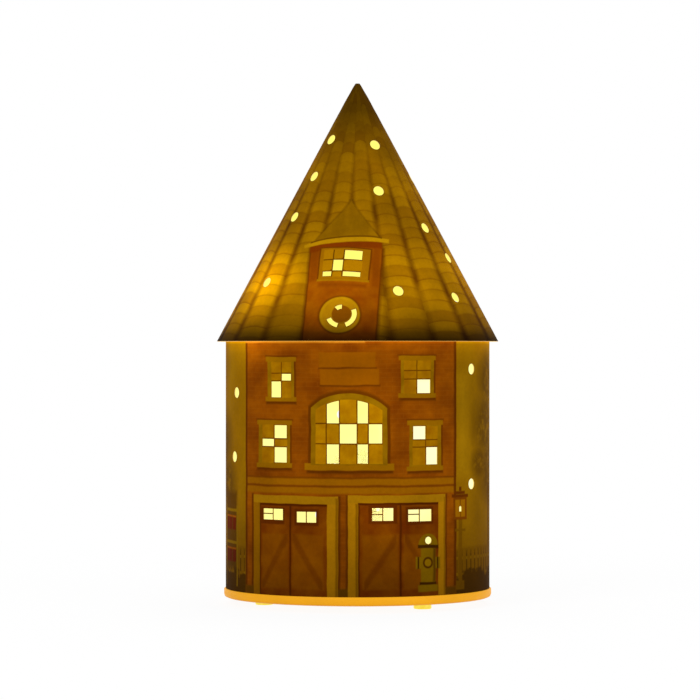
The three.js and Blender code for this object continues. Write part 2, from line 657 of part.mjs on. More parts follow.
function filament(index) {
  const low = filamentEnd(index, FILAMENT_LOW_CIRCLE, FILAMENT_LOW);
  const top = filamentEnd(index, FILAMENT_TOP_CIRCLE, FILAMENT_TOP);
  const along = new THREE.Vector3().subVectors(top, low);
  const middle = low.add(top).multiplyScalar(0.5);
  const stick = new THREE.CapsuleGeometry(FILAMENT_RADIUS, along.length() - 2 * FILAMENT_RADIUS, 2, 8);
  return stick.applyQuaternion(uprightTo(along)).translate(middle.x, middle.y, middle.z);
}

// Wires from a point on the bulb's axis out to one end of each light stick
function spokes(circleRadius, hubHeight, height) {
  const hub = new THREE.Vector3(0, 0, hubHeight);
  const reach = circleRadius - FILAMENT_RADIUS - FIT;
  const ends = Array.from({ length: FILAMENT_COUNT }, (_, i) => filamentEnd(i, reach, height));
  return ends.map((end) => bar(hub, end, WIRE_RADIUS));
}

function leadInWires() {
  const hub = CAP_HEIGHT + STEM_HEIGHT + FIT + WIRE_RADIUS;
  return toGeometry(joined(spokes(FILAMENT_LOW_CIRCLE, hub, FILAMENT_LOW)));
}

function anchorWires() {
  const foot = new THREE.Vector3(0, 0, CAP_HEIGHT + STEM_HEIGHT + 2 * FIT + 3 * WIRE_RADIUS);
  const hub = new THREE.Vector3(0, 0, FILAMENT_TOP);
  const arms = spokes(FILAMENT_TOP_CIRCLE, FILAMENT_TOP, FILAMENT_TOP);
  return toGeometry(joined([bar(foot, hub, WIRE_RADIUS), ...arms]));
}

// Inlet pieces stand on end: heights run inwards from the outer face of the inlet wall.
function inletSocket() {
  return turned([[0, JACK_DEPTH], [JACK_BORE, JACK_DEPTH], [JACK_BORE, -JACK_FLANGE_THICKNESS - FIT],
    [JACK_FLANGE, -JACK_FLANGE_THICKNESS - FIT], [JACK_FLANGE, -FIT], [BARREL_RADIUS, -FIT],
    [BARREL_RADIUS, BARREL_LENGTH], [0, BARREL_LENGTH]]);
}

function inletPin() {
  return turned([[0, 0], [JACK_PIN, 0], [JACK_PIN, JACK_DEPTH - FIT], [0, JACK_DEPTH - FIT]]);
}

function inletNut() {
  const low = INLET_WALL + FIT;
  const nut = prism(circle(0, 0, NUT_ACROSS_FLATS / Math.sqrt(3), 6), low, low + NUT_THICKNESS);
  return cut(nut, [prism(circle(0, 0, BARREL_RADIUS + FIT, SMALL_FACETS), 0, 2 * low + NUT_THICKNESS)]);
}

function inletTag(side) {
  const low = BARREL_LENGTH + FIT;
  const height = side * TAG_SPREAD;
  return box([-TAG_WIDTH / 2, height - TAG_THICKNESS / 2, low],
    [TAG_WIDTH / 2, height + TAG_THICKNESS / 2, low + TAG_LENGTH]);
}

// Routes of the two leads, from a tag of the inlet down to the base and up to a terminal's strip. The long
// one goes round the holder to the terminal at the front.
function shortRoute() {
  return [
    [0, LEAD_START, INLET_CENTRE - TAG_SPREAD],
    [0, LEAD_START - 3, INLET_CENTRE - TAG_SPREAD],
    [0, LEAD_START - 9, LEAD_FLOOR + 1.5],
    [0, (LEAD_START + LEAD_END) / 2, LEAD_FLOOR],
    [0, LEAD_END + 8, LEAD_FLOOR + 1.5],
    [0, LEAD_END + 4, LEAD_TOP - 1.5],
    [0, LEAD_END, LEAD_TOP],
  ];
}

function longRoute() {
  const loop = [148, 118, 88, 58, 28].map((angle) => (
    [...around(angle, HOLDER_FLANGE + LEAD_LOOP), LEAD_FLOOR]));
  return [
    [0, LEAD_START, INLET_CENTRE + TAG_SPREAD],
    [0, LEAD_START - 3, INLET_CENTRE + TAG_SPREAD],
    [6, LEAD_START - 11, LEAD_FLOOR + 4],
    ...loop,
    [3, -LEAD_END - 12, LEAD_FLOOR + 1.5],
    [0, -LEAD_END - 7, LEAD_TOP - 2.5],
    [0, -LEAD_END - 3, LEAD_TOP],
    [0, -LEAD_END, LEAD_TOP],
  ];
}

function lead(points) {
  const route = new THREE.CatmullRomCurve3(points.map((point) => new THREE.Vector3(...point)));
  const section = new THREE.Shape(circle(0, 0, LEAD_RADIUS, 6).map(([x, y]) => new THREE.Vector2(x, y)));
  const steps = Math.ceil(route.getLength() / (4 * LEAD_RADIUS));
  return new THREE.ExtrudeGeometry(section, { steps, extrudePath: route, bevelEnabled: false });
}

// Finishes
function finish(color, roughness, metalness = 0) {
  return new THREE.MeshStandardMaterial({ color, roughness, metalness });
}

const PRINTED_WALL = finish('#8c5a08', 0.6);
const PRINTED_ROOF = finish('#8a6404', 0.6);
const OPAL_PLASTIC = finish('#f5a519', 0.4);
const CLEAR_RUBBER = finish('#faeb50', 0.5);
const WHITE_CERAMIC = finish('#e9e4d8', 0.35);
const BRASS = finish('#c9a24a', 0.35, 1);
const STEEL = finish('#b9bcc0', 0.3, 1);
const NICKEL = finish('#c4c2ba', 0.25, 1);
const BLACK_PLASTIC = finish('#1c1c1e', 0.5);
const BLACK_GLASS = finish('#16120f', 0.15);
const SOLDER = finish('#a9aaae', 0.4, 1);
const CLEAR_GLASS = finish('#eef4f2', 0.05);
const PHOSPHOR = finish('#ffd23c', 0.5);
const RED_SLEEVE = finish('#b3261e', 0.5);
const BLACK_SLEEVE = finish('#202022', 0.5);

function piece(name, geometry, material) {
  const mesh = new THREE.Mesh(geometry, material);
  mesh.name = name;
  return mesh;
}

function group(...members) {
  return new THREE.Group().add(...members);
}

function feet() {
  return group(...FOOT_ANGLES.map((angle, i) => {
    const bumper = piece(`foot_${i + 1}`, foot(), CLEAR_RUBBER);
    bumper.position.set(...around(angle, FOOT_CIRCLE), 0);
    return bumper;
  }));
}

function bulbHolder() {
  const screws = [-1, 1].flatMap((side, i) => {
    const mounting = piece(`mounting_screw_${i + 1}`, screw(SCREW_SHANK, HOLDER_DECK + SCREW_BITE), STEEL);
    const terminal = piece(`terminal_screw_${i + 1}`, screw(TERMINAL_SHANK, TERMINAL_DEPTH + STRIP), BRASS);
    mounting.position.set(side * SCREW_CIRCLE, 0, DECK_TOP);
    terminal.position.set(0, side * SCREW_CIRCLE, DECK_TOP + STRIP);
    return [mounting, terminal];
  });
  return group(
    piece('lampholder_body', holderBody(), WHITE_CERAMIC),
    piece('lampholder_shell', holderShell(), BRASS),
    piece('centre_contact', centreContact(), BRASS),
    piece('shell_contact', shellContact(), BRASS),
    ...screws,
  );
}

function bulb() {
  const whole = group(
    piece('bulb_cap', bulbCap(), NICKEL),
    piece('bulb_insulator', bulbInsulator(), BLACK_GLASS),
    piece('bulb_tip', bulbTip(), SOLDER),
    piece('bulb_glass', bulbGlass(), CLEAR_GLASS),
    piece('bulb_stem', bulbStem(), CLEAR_GLASS),
    piece('lead_in_wires', leadInWires(), NICKEL),
    piece('anchor_wires', anchorWires(), NICKEL),
    ...Array.from({ length: FILAMENT_COUNT }, (_, i) => piece(`filament_${i + 1}`, filament(i), PHOSPHOR)),
  );
  whole.position.z = CAP_BASE;
  return whole;
}

function inlet() {
  const whole = group(
    piece('inlet_socket', inletSocket(), BLACK_PLASTIC),
    piece('inlet_pin', inletPin(), NICKEL),
    piece('inlet_nut', inletNut(), NICKEL),
    piece('inlet_tag_1', inletTag(-1), NICKEL),
    piece('inlet_tag_2', inletTag(1), NICKEL),
  );
  whole.rotation.x = Math.PI / 2;
  whole.position.set(0, INLET_FACE, INLET_CENTRE);
  return whole;
}

const station = group(
  piece('base_plate', basePlate(), OPAL_PLASTIC),
  feet(),
  piece('drum_sheet', drumSheet(), PRINTED_WALL),
  piece('roof_cone', roofCone(), PRINTED_ROOF),
  piece('roof_ring', roofRing(), OPAL_PLASTIC),
  bulbHolder(),
  bulb(),
  inlet(),
  piece('lead_1', lead(shortRoute()), RED_SLEEVE),
  piece('lead_2', lead(longRoute()), BLACK_SLEEVE),
);

export default station;
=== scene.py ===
import json
import math

import bmesh
import bpy
import numpy as np
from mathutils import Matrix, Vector
from mathutils.geometry import delaunay_2d_cdt


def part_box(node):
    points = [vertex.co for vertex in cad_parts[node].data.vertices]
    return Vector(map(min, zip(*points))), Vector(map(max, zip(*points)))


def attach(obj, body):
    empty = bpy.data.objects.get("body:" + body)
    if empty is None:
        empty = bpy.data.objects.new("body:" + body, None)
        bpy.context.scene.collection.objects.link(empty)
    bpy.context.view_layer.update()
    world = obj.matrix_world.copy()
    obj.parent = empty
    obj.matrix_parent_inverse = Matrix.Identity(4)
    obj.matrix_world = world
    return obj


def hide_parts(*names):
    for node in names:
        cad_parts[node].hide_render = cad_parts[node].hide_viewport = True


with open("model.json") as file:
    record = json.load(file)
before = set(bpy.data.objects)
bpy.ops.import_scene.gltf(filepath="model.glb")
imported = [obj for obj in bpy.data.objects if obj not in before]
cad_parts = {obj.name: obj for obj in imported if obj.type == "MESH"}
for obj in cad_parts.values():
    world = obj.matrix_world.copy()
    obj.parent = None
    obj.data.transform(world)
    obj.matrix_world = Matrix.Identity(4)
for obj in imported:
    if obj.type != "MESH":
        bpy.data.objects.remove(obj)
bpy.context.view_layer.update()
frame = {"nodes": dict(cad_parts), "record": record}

# Sizes in millimetres, as in the CAD
SHEET = 0.5
GLUE_LINE = 0.3
TUCK = SHEET + GLUE_LINE
STEP_ANGLE = 5.625
LAP = 12
BASE_TOP = 9
DRUM_RADIUS = 75
DRUM_HEIGHT = 140
DRUM_TOP = BASE_TOP + DRUM_HEIGHT
DRUM_SEAM = 25 * STEP_ANGLE
ROOF_RADIUS = 80
ROOF_RISE = 150
ROOF_SLANT = math.hypot(ROOF_RADIUS, ROOF_RISE)
ROOF_SIN = ROOF_RADIUS / ROOF_SLANT
ROOF_COS = ROOF_RISE / ROOF_SLANT
ROOF_SEAM = 180
TIP_RADIUS = 1.2
TIP_EASE = 2.5
STAR_RADIUS = 3
HALF_BAR = 0.3
GRID_PITCH = 2.6
HOLE_PITCH = 1.2
FIT = 0.3
DECK_TOP = BASE_TOP + 7
CHAMBER_HEIGHT = 3
SHELL_WALL = 0.5
SHELL_HEIGHT = 15
THREAD_PITCH = 2.822
CAP_RADIUS = 6.9
CAP_HEIGHT = 16
CAP_WALL = 0.4
CAP_MOUTH = 4
CAP_SHOULDER = 1.4
INSULATOR_DROP = 0.8
TIP_CONTACT_RADIUS = 1.8
CAP_BASE = DECK_TOP + CHAMBER_HEIGHT + 1 + INSULATOR_DROP
SHELL_OUTSIDE = CAP_RADIUS + FIT + SHELL_WALL
GLOBE_RADIUS = 22.5
GLOBE_LIFT = 29
GLASS = 0.7
NECK_DEPTH = 3
STEM_HEIGHT = 13
STEM_RADIUS = 2.3
STICK_RADIUS = 0.9
STICK_LOW_CIRCLE = 11.8
STICK_TOP_CIRCLE = 4.2
STICK_RISE = 27
STICK_LOW = CAP_BASE + CAP_HEIGHT + GLOBE_LIFT - 13.5
INLET_FACE = DRUM_RADIUS - 7
INLET_CENTRE = BASE_TOP + 9.5
BARREL_RADIUS = 4
BARREL_LENGTH = 10
JACK_FLANGE = 5.5
JACK_FLANGE_OUT = 1.8
JACK_BORE = 2.8
JACK_DEPTH = 8.5
JACK_PIN = 1
LEAD_RADIUS = 0.9
SHARP_ANGLE = math.radians(32)

# Windows of the wall, from the front round the wall and up from the base: pane widths and heights, the open
# panes (column, row, rows spanned) and the printed frame (left, right, low, high)
WINDOWS = (
    dict(left=-51.6, sill=108.7, widths=(7.1, 6.5), heights=(9.25, 4.2, 6.3), open=((0, 0, 1), (1, 1, 1)),
         frame=(-54.3, -36.3, 106.8, 131.1)),
    dict(left=25.9, sill=111.1, widths=(7.7, 8.7), heights=(8, 4.6, 5.4), open=((1, 0, 1),),
         frame=(24.1, 44.4, 108.9, 131.7)),
    dict(left=-58.4, sill=72.9, widths=(9, 8.7), heights=(8.9, 4.5, 7.6),
         open=((1, 0, 1), (0, 1, 1), (1, 2, 1)), frame=(-61.4, -38.9, 70.3, 96.3)),
    dict(left=31.1, sill=71.9, widths=(8.1, 7.8), heights=(10, 3.9, 7.7), open=((1, 0, 1), (0, 2, 1)),
         frame=(29.1, 49.4, 68.9, 96.4)),
)
DOOR_LIGHTS = (
    dict(left=-57.5, sill=41.3, widths=(7.3, 7), heights=(3.6, 3), open=((0, 0, 1), (0, 1, 1), (1, 0, 2))),
    dict(left=-34.8, sill=40.3, widths=(6, 6), heights=(6.4,), open=((0, 0, 1), (1, 0, 1))),
    dict(left=7.7, sill=41.4, widths=(6.1, 6.2), heights=(3.8, 3.7), open=((0, 0, 1), (0, 1, 1), (1, 0, 2))),
    dict(left=28.1, sill=40.8, widths=(7, 7.9), heights=(4.2, 2.9), open=((0, 0, 1), (0, 1, 1), (1, 0, 2))),
)
ARCHED = dict(left=-23.4, sill=72.7, widths=(6.2, 7.2, 9.7, 6.2, 7.8), heights=(11, 11, 13),
              open=((1, 0, 1), (3, 0, 1), (2, 1, 1), (4, 1, 1), (1, 2, 1), (3, 2, 1)))
ARCH_CENTRE = -5
ARCH_RADIUS = 32
ARCH_RISE = 35.3
PEEP_HOLE = (40.8, 30.5, 2)
LANTERN_LIGHT = (64.6, 45.6, 1.9, 3)
BAR_INK = "#5f3500"
NOTCH = (15, 9.5)
WALL_STARS = (
    (57.6, 124.4), (57.6, 60.5), (-64.3, 111.2), (-66.6, 75.3), (-172.8, 96.9), (-162.6, 37.6), (-118, 124),
    (-139, 97), (-108, 52), (-195, 118), (-202, 66), (121, 92), (112, 48),
)

# The brick front of the wall's picture: its left and right edge. Pickets and hedge go on from there.
FRONT = (-73.4, 61.2)
FENCE_ENDS = (-290, 200)
PICKET_PITCH = 4.4
PICKET_TOP = 26
BUCKETS = [(x, y) for x in (-99.6, -93.7, -87.8) for y in (34.5, 16.5)]

# Cut-outs of the roof's flat fan, whose point is at the origin and whose hem is below it
DORMER = (-7.4, -121, -5.5)
DORMER_WINDOW = dict(left=-11.8, sill=-8.5, widths=(5.4, 5.9, 10.3), heights=(3.5, 7.3, 6.2),
                     open=((0, 0, 1), (2, 0, 1), (1, 1, 1), (2, 2, 1)))
ROUNDEL = (-9, -153, 5.9, 8.5)
ROUNDEL_SLOTS = ((-71, 21, 0), (198, 253, 0), (86, 128, 2.7))
ROOF_STARS = (
    (-51.6, 40.7), (28, 44.6), (-53.7, 64.7), (85, 65), (19.5, 74.8), (-56, 90.9), (55.3, 98), (67.9, 116.9),
    (-54, 132.9), (20, 138.8), (54.3, 142.4), (122.4, 146), (-112, 60), (148, 62), (-145, 92), (126, 104),
    (-108, 126), (158, 122), (-152, 140),
)

# The roof's picture: the tower's middle and lean, and the tiles
TOWER = (-8.3, -137, -3.9)
TILE_COLUMNS = 20
TILE_START = 10.26
TILE_ROW = 6.6


# Flat outlines

def cells(window):
    """Every cell of a window as (left, right, low, high, is it open): edges are running sums of its widths
    and heights, and an open pane that spans rows is one cell."""
    across = window["left"] + np.concatenate([[0], np.cumsum(window["widths"])])
    up = window["sill"] + np.concatenate([[0], np.cumsum(window["heights"])])
    found = [(across[c], across[c + 1], up[r], up[r + n], True) for c, r, n in window["open"]]
    taken = {(c, r + i) for c, r, n in window["open"] for i in range(n)}
    found += [(across[c], across[c + 1], up[r], up[r + 1], False) for c in range(len(across) - 1)
              for r in range(len(up) - 1) if (c, r) not in taken]
    return found


def panes(window):
    """Outlines of a window's open panes, each half a glazing bar inside its cell."""
    return [np.array([(a, c), (b, c), (b, d), (a, d)])
            + HALF_BAR * np.array([(1, 1), (-1, 1), (-1, -1), (1, -1)])
            for a, b, c, d, is_open in cells(window) if is_open]


def bars(window, half=HALF_BAR):
    """Flat boxes of a window's glazing bars."""
    right, top = window["left"] + sum(window["widths"]), window["sill"] + sum(window["heights"])
    across = window["left"] + np.cumsum(window["widths"])[:-1]
    up = window["sill"] + np.cumsum(window["heights"])[:-1]
    return ([(x - half, x + half, window["sill"], top) for x in across]
            + [(window["left"], right, y - half, y + half) for y in up])


def arched(pane):
    """A pane of the arched window. One that reaches the top gets a head on the arch: height = the arch's
    middle + the root of radius squared less the distance from the middle line squared."""
    left, right, low, high = pane[0, 0], pane[1, 0], pane[0, 1], pane[2, 1]
    if high < ARCHED["sill"] + ARCH_RISE - 5:
        return pane
    x = np.linspace(right, left, 13)
    rise = ARCH_RISE - ARCH_RADIUS + np.sqrt(ARCH_RADIUS ** 2 - (x - ARCH_CENTRE) ** 2)
    head = np.column_stack([x, ARCHED["sill"] + rise - HALF_BAR])
    return np.vstack([[(left, low), (right, low)], head])


def ring(x, y, radius, count=28):
    """Points evenly round a circle."""
    turn = np.arange(count) * 2 * math.pi / count
    return np.column_stack([x + radius * np.cos(turn), y + radius * np.sin(turn)])


def round_topped(x, low, width, spring, count=16):
    """Two straight sides that a half circle joins at the top."""
    turn = np.linspace(0, math.pi, count)
    head = np.column_stack([x + width / 2 * np.cos(turn), spring + width / 2 * np.sin(turn)])
    return np.vstack([[(x - width / 2, low), (x + width / 2, low)], head])


def on_fan(angle, slant):
    """Flat place on the roof's fan: the angle round the lamp shrinks by the cone's sine."""
    flat = np.radians(angle) * ROOF_SIN
    return np.column_stack([slant * np.sin(flat), -slant * np.cos(flat)])


def on_dormer(corners):
    """Corners round the dormer window's middle, turned and moved to their place on the fan."""
    x, y, turn = DORMER[0], DORMER[1], math.radians(DORMER[2])
    spin = np.array([(math.cos(turn), math.sin(turn)), (-math.sin(turn), math.cos(turn))])
    return corners @ spin + (x, y)


def roundel_slot(start, end, inwards):
    """A curved slot: one arc out, and the same arc back at the smaller radius."""
    x, y, inner, outer = ROUNDEL
    turn = np.radians(np.linspace(start, end, 24))
    arc = np.column_stack([np.cos(turn), np.sin(turn)])
    return np.vstack([arc * (outer - inwards), arc[::-1] * (inner - inwards)]) + (x, y)


def wall_outlines():
    """The wall sheet's own outline and its openings, flat, in millimetres."""
    start = math.radians(DRUM_SEAM - 360) * DRUM_RADIUS
    end = math.radians(DRUM_SEAM) * DRUM_RADIUS + LAP
    sheet = np.array([(start, 0), (end, 0), (end, DRUM_HEIGHT), (start, DRUM_HEIGHT)])
    openings = [pane for window in WINDOWS + DOOR_LIGHTS for pane in panes(window)]
    openings += [arched(pane) for pane in panes(ARCHED)]
    openings += [ring(math.radians(angle) * DRUM_RADIUS, up, STAR_RADIUS) for angle, up in WALL_STARS]
    openings.append(ring(*PEEP_HOLE))
    x, low, width, height = LANTERN_LIGHT
    openings.append(round_topped(x, low, width, low + height - width / 2))
    openings.append(round_topped(-math.pi * DRUM_RADIUS, -1, *NOTCH, count=24))
    return sheet, openings


def roof_outlines():
    """The roof fan's outline, an arc at the hem and one at the tip, and its openings."""
    turn = np.linspace(ROOF_SEAM - 360, ROOF_SEAM + math.degrees(LAP / ROOF_RADIUS), 150)
    sheet = np.vstack([on_fan(turn, ROOF_SLANT), on_fan(turn[::-6], TIP_RADIUS / ROOF_SIN)])
    openings = [on_dormer(pane) for pane in panes(DORMER_WINDOW)]
    openings += [roundel_slot(*slot) for slot in ROUNDEL_SLOTS]
    openings += [ring(*on_fan(angle, slant)[0], STAR_RADIUS) for angle, slant in ROOF_STARS]
    return sheet, openings


# Rolling

def tuck(angle, seam):
    """How far the lapped end steps inwards: a smooth ramp over one step of angle before the seam."""
    share = np.clip((angle - seam) / STEP_ANGLE + 1, 0, 1)
    return -TUCK * share * share * (3 - 2 * share)


def roll_wall(flat, depth):
    """The wall rolled up: angle = flat x over the radius, and height = base top + flat y."""
    angle = np.degrees(flat[:, 0] / DRUM_RADIUS)
    radius = DRUM_RADIUS + depth + tuck(angle, DRUM_SEAM)
    turn = np.radians(angle)
    return np.column_stack([radius * np.sin(turn), -radius * np.cos(turn), BASE_TOP + flat[:, 1]])


def roll_roof(flat, depth):
    """The fan rolled into a cone: distance from the point stays, and the flat angle grows by 1 / sine. Near
    the point the drop is the root of the cone's drop squared plus the ease squared, which rounds it."""
    slant = np.hypot(flat[:, 0], flat[:, 1])
    angle = np.degrees(np.arctan2(flat[:, 0], -flat[:, 1]) / ROOF_SIN)
    out = depth + tuck(angle, ROOF_SEAM)
    radius = slant * ROOF_SIN + out * ROOF_COS
    turn = np.radians(angle)
    height = DRUM_TOP + ROOF_RISE - np.hypot(slant * ROOF_COS, TIP_EASE) + out * ROOF_SIN
    return np.column_stack([radius * np.sin(turn), -radius * np.cos(turn), height])


# Meshes

def split(corners, step):
    """Points round a closed outline: each side in equal parts no longer than a step."""
    ahead = np.roll(corners, -1, axis=0) - corners
    counts = np.maximum(1, np.ceil(np.hypot(*ahead.T) / step)).astype(int)
    side = np.repeat(np.arange(len(corners)), counts)
    part = (np.arange(counts.sum()) - np.repeat(np.cumsum(counts) - counts, counts)) / counts[side]
    return corners[side] + ahead[side] * part[:, None]


def enclosed(points, corners):
    """Which points an outline holds: a line to the right of them crosses its sides an odd number of times."""
    x, y = points[:, :1], points[:, 1:]
    (ax, ay), (bx, by) = corners.T, np.roll(corners, -1, axis=0).T
    spans = (ay > y) != (by > y)
    level = np.where(by == ay, 1, by - ay)
    return (spans & (x < (bx - ax) * (y - ay) / level + ax)).sum(1) % 2 == 1


def nearest(points, others):
    """Distance from each point to the closest of the others."""
    parts = np.array_split(points, max(1, len(points) // 500))
    return np.concatenate([np.sqrt(((p[:, None] - others[None]) ** 2).sum(-1)).min(1) for p in parts])


def flat_sheet(sheet, openings):
    """Triangles of a flat sheet with its openings: points along every edge, and a staggered grid between."""
    loops = [split(sheet, GRID_PITCH)] + [split(hole, HOLE_PITCH) for hole in openings]
    along = np.vstack(loops)
    low, high = sheet.min(0), sheet.max(0)
    rows = np.arange(low[1], high[1], GRID_PITCH * math.sqrt(3) / 2)
    x = np.arange(low[0], high[0], GRID_PITCH) + (np.arange(len(rows)) % 2 * GRID_PITCH / 2)[:, None]
    grid = np.column_stack([x.ravel(), np.repeat(rows, x.shape[1])])
    grid = grid[enclosed(grid, sheet)]
    grid = grid[nearest(grid, along) > 0.55 * GRID_PITCH]
    starts = np.cumsum([0] + [len(piece) for piece in loops])
    sides = [np.column_stack([np.arange(len(p)), (np.arange(len(p)) + 1) % len(p)]) + s
             for p, s in zip(loops, starts)]
    points = np.vstack([along, grid])
    done = delaunay_2d_cdt(points.tolist(), np.vstack(sides).tolist(), [], 0, 1e-4, False)
    flat = np.array([tuple(p) for p in done[0]])
    faces = np.array(done[2])
    middle = flat[faces].mean(1)
    keep = enclosed(middle, sheet)
    for hole in openings:
        keep &= ~enclosed(middle, hole)
    faces = faces[keep]
    a, b, c = flat[faces].transpose(1, 0, 2)
    turned_over = (b - a)[:, 0] * (c - a)[:, 1] < (b - a)[:, 1] * (c - a)[:, 0]
    faces[turned_over] = faces[turned_over][:, ::-1]
    used, faces = np.unique(faces, return_inverse=True)
    edge = nearest(flat[used], np.vstack(loops[1:]))
    return flat[used], faces.reshape(-1, 3), edge


def rolled_sheet(name, outlines, roll, finishes):
    """A cut-out film sheet rolled up: outer face at depth 0, inner face at the sheet's thickness, and a wall
    along every side that only one triangle has. Normals are the cross product of the rolled slopes."""
    flat, faces, edge = flat_sheet(*outlines)
    count = len(flat)
    sides = np.vstack([faces[:, [0, 1]], faces[:, [1, 2]], faces[:, [2, 0]]])
    _, first, uses = np.unique(np.sort(sides, 1), axis=0, return_index=True, return_counts=True)
    rim = sides[first[uses == 1]]
    places = np.vstack([roll(flat, 0), roll(flat, -SHEET)]) * 0.001
    slope_x = roll(flat + (0.01, 0), 0) - roll(flat - (0.01, 0), 0)
    slope_y = roll(flat + (0, 0.01), 0) - roll(flat - (0, 0.01), 0)
    normals = np.cross(slope_x, slope_y)
    normals /= np.linalg.norm(normals, axis=1)[:, None]
    walls = np.column_stack([rim[:, 0], rim[:, 0] + count, rim[:, 1] + count, rim[:, 1]])
    back = faces[:, ::-1]
    mesh = bpy.data.meshes.new(name)
    mesh.from_pydata(places.tolist(), [], faces.tolist() + (back + count).tolist() + walls.tolist())
    across = np.cross(places[walls[:, 2]] - places[walls[:, 0]], places[walls[:, 3]] - places[walls[:, 1]])
    across /= np.maximum(np.linalg.norm(across, axis=1)[:, None], 1e-12)
    lit = np.vstack([normals[faces].reshape(-1, 3), -normals[back].reshape(-1, 3),
                     np.repeat(across, 4, axis=0)])
    mesh.polygons.foreach_set("use_smooth", np.ones(len(mesh.polygons), bool))
    mesh.polygons.foreach_set("material_index", np.repeat([0, 1, 2], [len(faces), len(faces), len(walls)]))
    mesh.normals_split_custom_set(lit.tolist())
    corner = np.concatenate([faces.ravel(), back.ravel(), walls.ravel()]) % count
    layer = mesh.uv_layers.new(name="flat")
    layer.uv.foreach_set("vector", (flat[corner] * 0.001).ravel())
    distance = mesh.attributes.new("edge_mm", "FLOAT", "POINT")
    distance.data.foreach_set("value", np.tile(edge, 2))
    for finish in finishes:
        mesh.materials.append(finish)
    return shown(name, mesh)


def shown(name, mesh):
    """Puts a mesh into the scene as an object at the origin."""
    piece = bpy.data.objects.new(name, mesh)
    bpy.context.scene.collection.objects.link(piece)
    return piece


# Nodes

def linear(colour):
    """An sRGB hex colour as linear red, green, blue and alpha."""
    value = np.array([int(colour[i:i + 2], 16) for i in (1, 3, 5)]) / 255
    value = np.where(value <= 0.04045, value / 12.92, ((value + 0.055) / 1.055) ** 2.4)
    return (*value.tolist(), 1.0)


def join(tree, socket, link):
    """Gives a socket a node or another socket, a hex colour or a number."""
    if isinstance(link, bpy.types.Node):
        link = next(out for out in link.outputs if out.enabled)
    if isinstance(link, bpy.types.NodeSocket):
        tree.links.new(link, socket)
    elif isinstance(link, str):
        socket.default_value = linear(link)
    else:
        socket.default_value = link


# What a node is set to where a call says nothing else: numbers are multiplied, and colours are mixed
USUAL = {"Math": {"operation": "MULTIPLY"}, "VectorMath": {"operation": "MULTIPLY"},
         "Mix": {"data_type": "RGBA"}}


def add(tree, kind, *links, inputs=None, **settings):
    """Adds a node. Settings are its properties, over the usual ones. Links go to its inputs in order, and
    inputs go by name."""
    made = tree.nodes.new("ShaderNode" + kind)
    for name, value in (USUAL.get(kind, {}) | settings).items():
        setattr(made, name, value)
    pairs = list(zip([socket for socket in made.inputs if socket.enabled], links))
    pairs += [(made.inputs[name], link) for name, link in (inputs or {}).items()]
    for socket, link in pairs:
        join(tree, socket, link)
    return made


def new_finish(name):
    """An empty material and its node tree."""
    finish = bpy.data.materials.new(name)
    finish.use_nodes = True
    finish.node_tree.nodes.clear()
    return finish, finish.node_tree


def shade(tree, inputs):
    """Ends a finish: a Principled shader with these inputs goes to the output."""
    add(tree, "OutputMaterial", add(tree, "BsdfPrincipled", inputs=inputs))


def box_cover():
    """Node group: 1 inside a flat box and 0 outside, fading over its soft edge. The distance is the greater
    of how far the point lies beyond each half size."""
    tree = bpy.data.node_groups.new("box_cover", "ShaderNodeTree")
    for name, kind in (("Point", "Vector"), ("Middle", "Vector"), ("Half", "Vector"), ("Soft", "Float")):
        tree.interface.new_socket(name, in_out="INPUT", socket_type="NodeSocket" + kind)
    tree.interface.new_socket("Cover", in_out="OUTPUT", socket_type="NodeSocketFloat")
    given = tree.nodes.new("NodeGroupInput").outputs
    away = add(tree, "VectorMath", given["Point"], given["Middle"], operation="SUBTRACT")
    away = add(tree, "VectorMath", away, operation="ABSOLUTE")
    away = add(tree, "VectorMath", away, given["Half"], operation="SUBTRACT")
    sides = [add(tree, "VectorMath", away, axis, operation="DOT_PRODUCT")
             for axis in ((1, 0, 0), (0, 1, 0))]
    far = add(tree, "Math", *sides, operation="MAXIMUM")
    share = add(tree, "Math", far, given["Soft"], operation="DIVIDE")
    cover = add(tree, "Math", add(tree, "Math", 0.5, share, operation="SUBTRACT"), 1.0, operation="MINIMUM")
    cover = add(tree, "Math", cover, 0.0, operation="MAXIMUM")
    tree.links.new(cover.outputs[0], tree.nodes.new("NodeGroupOutput").inputs[0])
    return tree


BOX = box_cover()


def boxes(tree, point, spans, soft=0.4):
    """How far a point is covered by any of the boxes (left, right, low, high)."""
    return merged(tree, "MAXIMUM", *[add(tree, "Group", node_tree=BOX, inputs=dict(
        Point=point, Middle=((left + right) / 2, (low + high) / 2, 0),
        Half=((right - left) / 2, (high - low) / 2, 0), Soft=soft)) for left, right, low, high in spans])


def merged(tree, how, *covers):
    """Several covers made one: MINIMUM covers where all of them do, and MAXIMUM where any of them does."""
    found, *others = covers
    for cover in others:
        found = add(tree, "Math", found, cover, operation=how)
    return found


def off_middle(tree, value):
    """How far a value is from the middle between two whole numbers."""
    share = add(tree, "Math", add(tree, "Math", value, operation="FRACT"), 0.5, operation="SUBTRACT")
    return add(tree, "Math", share, operation="ABSOLUTE")


def disc(tree, point, x, y, radius, soft=0.4):
    """How far a point is covered by a disc: radius less its distance from the middle, over the soft edge."""
    away = add(tree, "VectorMath", point, (x, y, 0), operation="DISTANCE")
    return add(tree, "MapRange", away, radius - soft / 2, radius + soft / 2, 1.0, 0.0)


def blotches(tree, point, size, low, high, detail=2.0, stretch=(1, 1, 1)):
    """Soft cloudy variation between two values, with patches of about the given size in millimetres."""
    place = add(tree, "VectorMath", point, tuple(s / size for s in stretch))
    cloud = add(tree, "TexNoise", inputs=dict(Vector=place, Scale=1.0, Detail=detail))
    return add(tree, "MapRange", cloud, 0.3, 0.7, low, high)


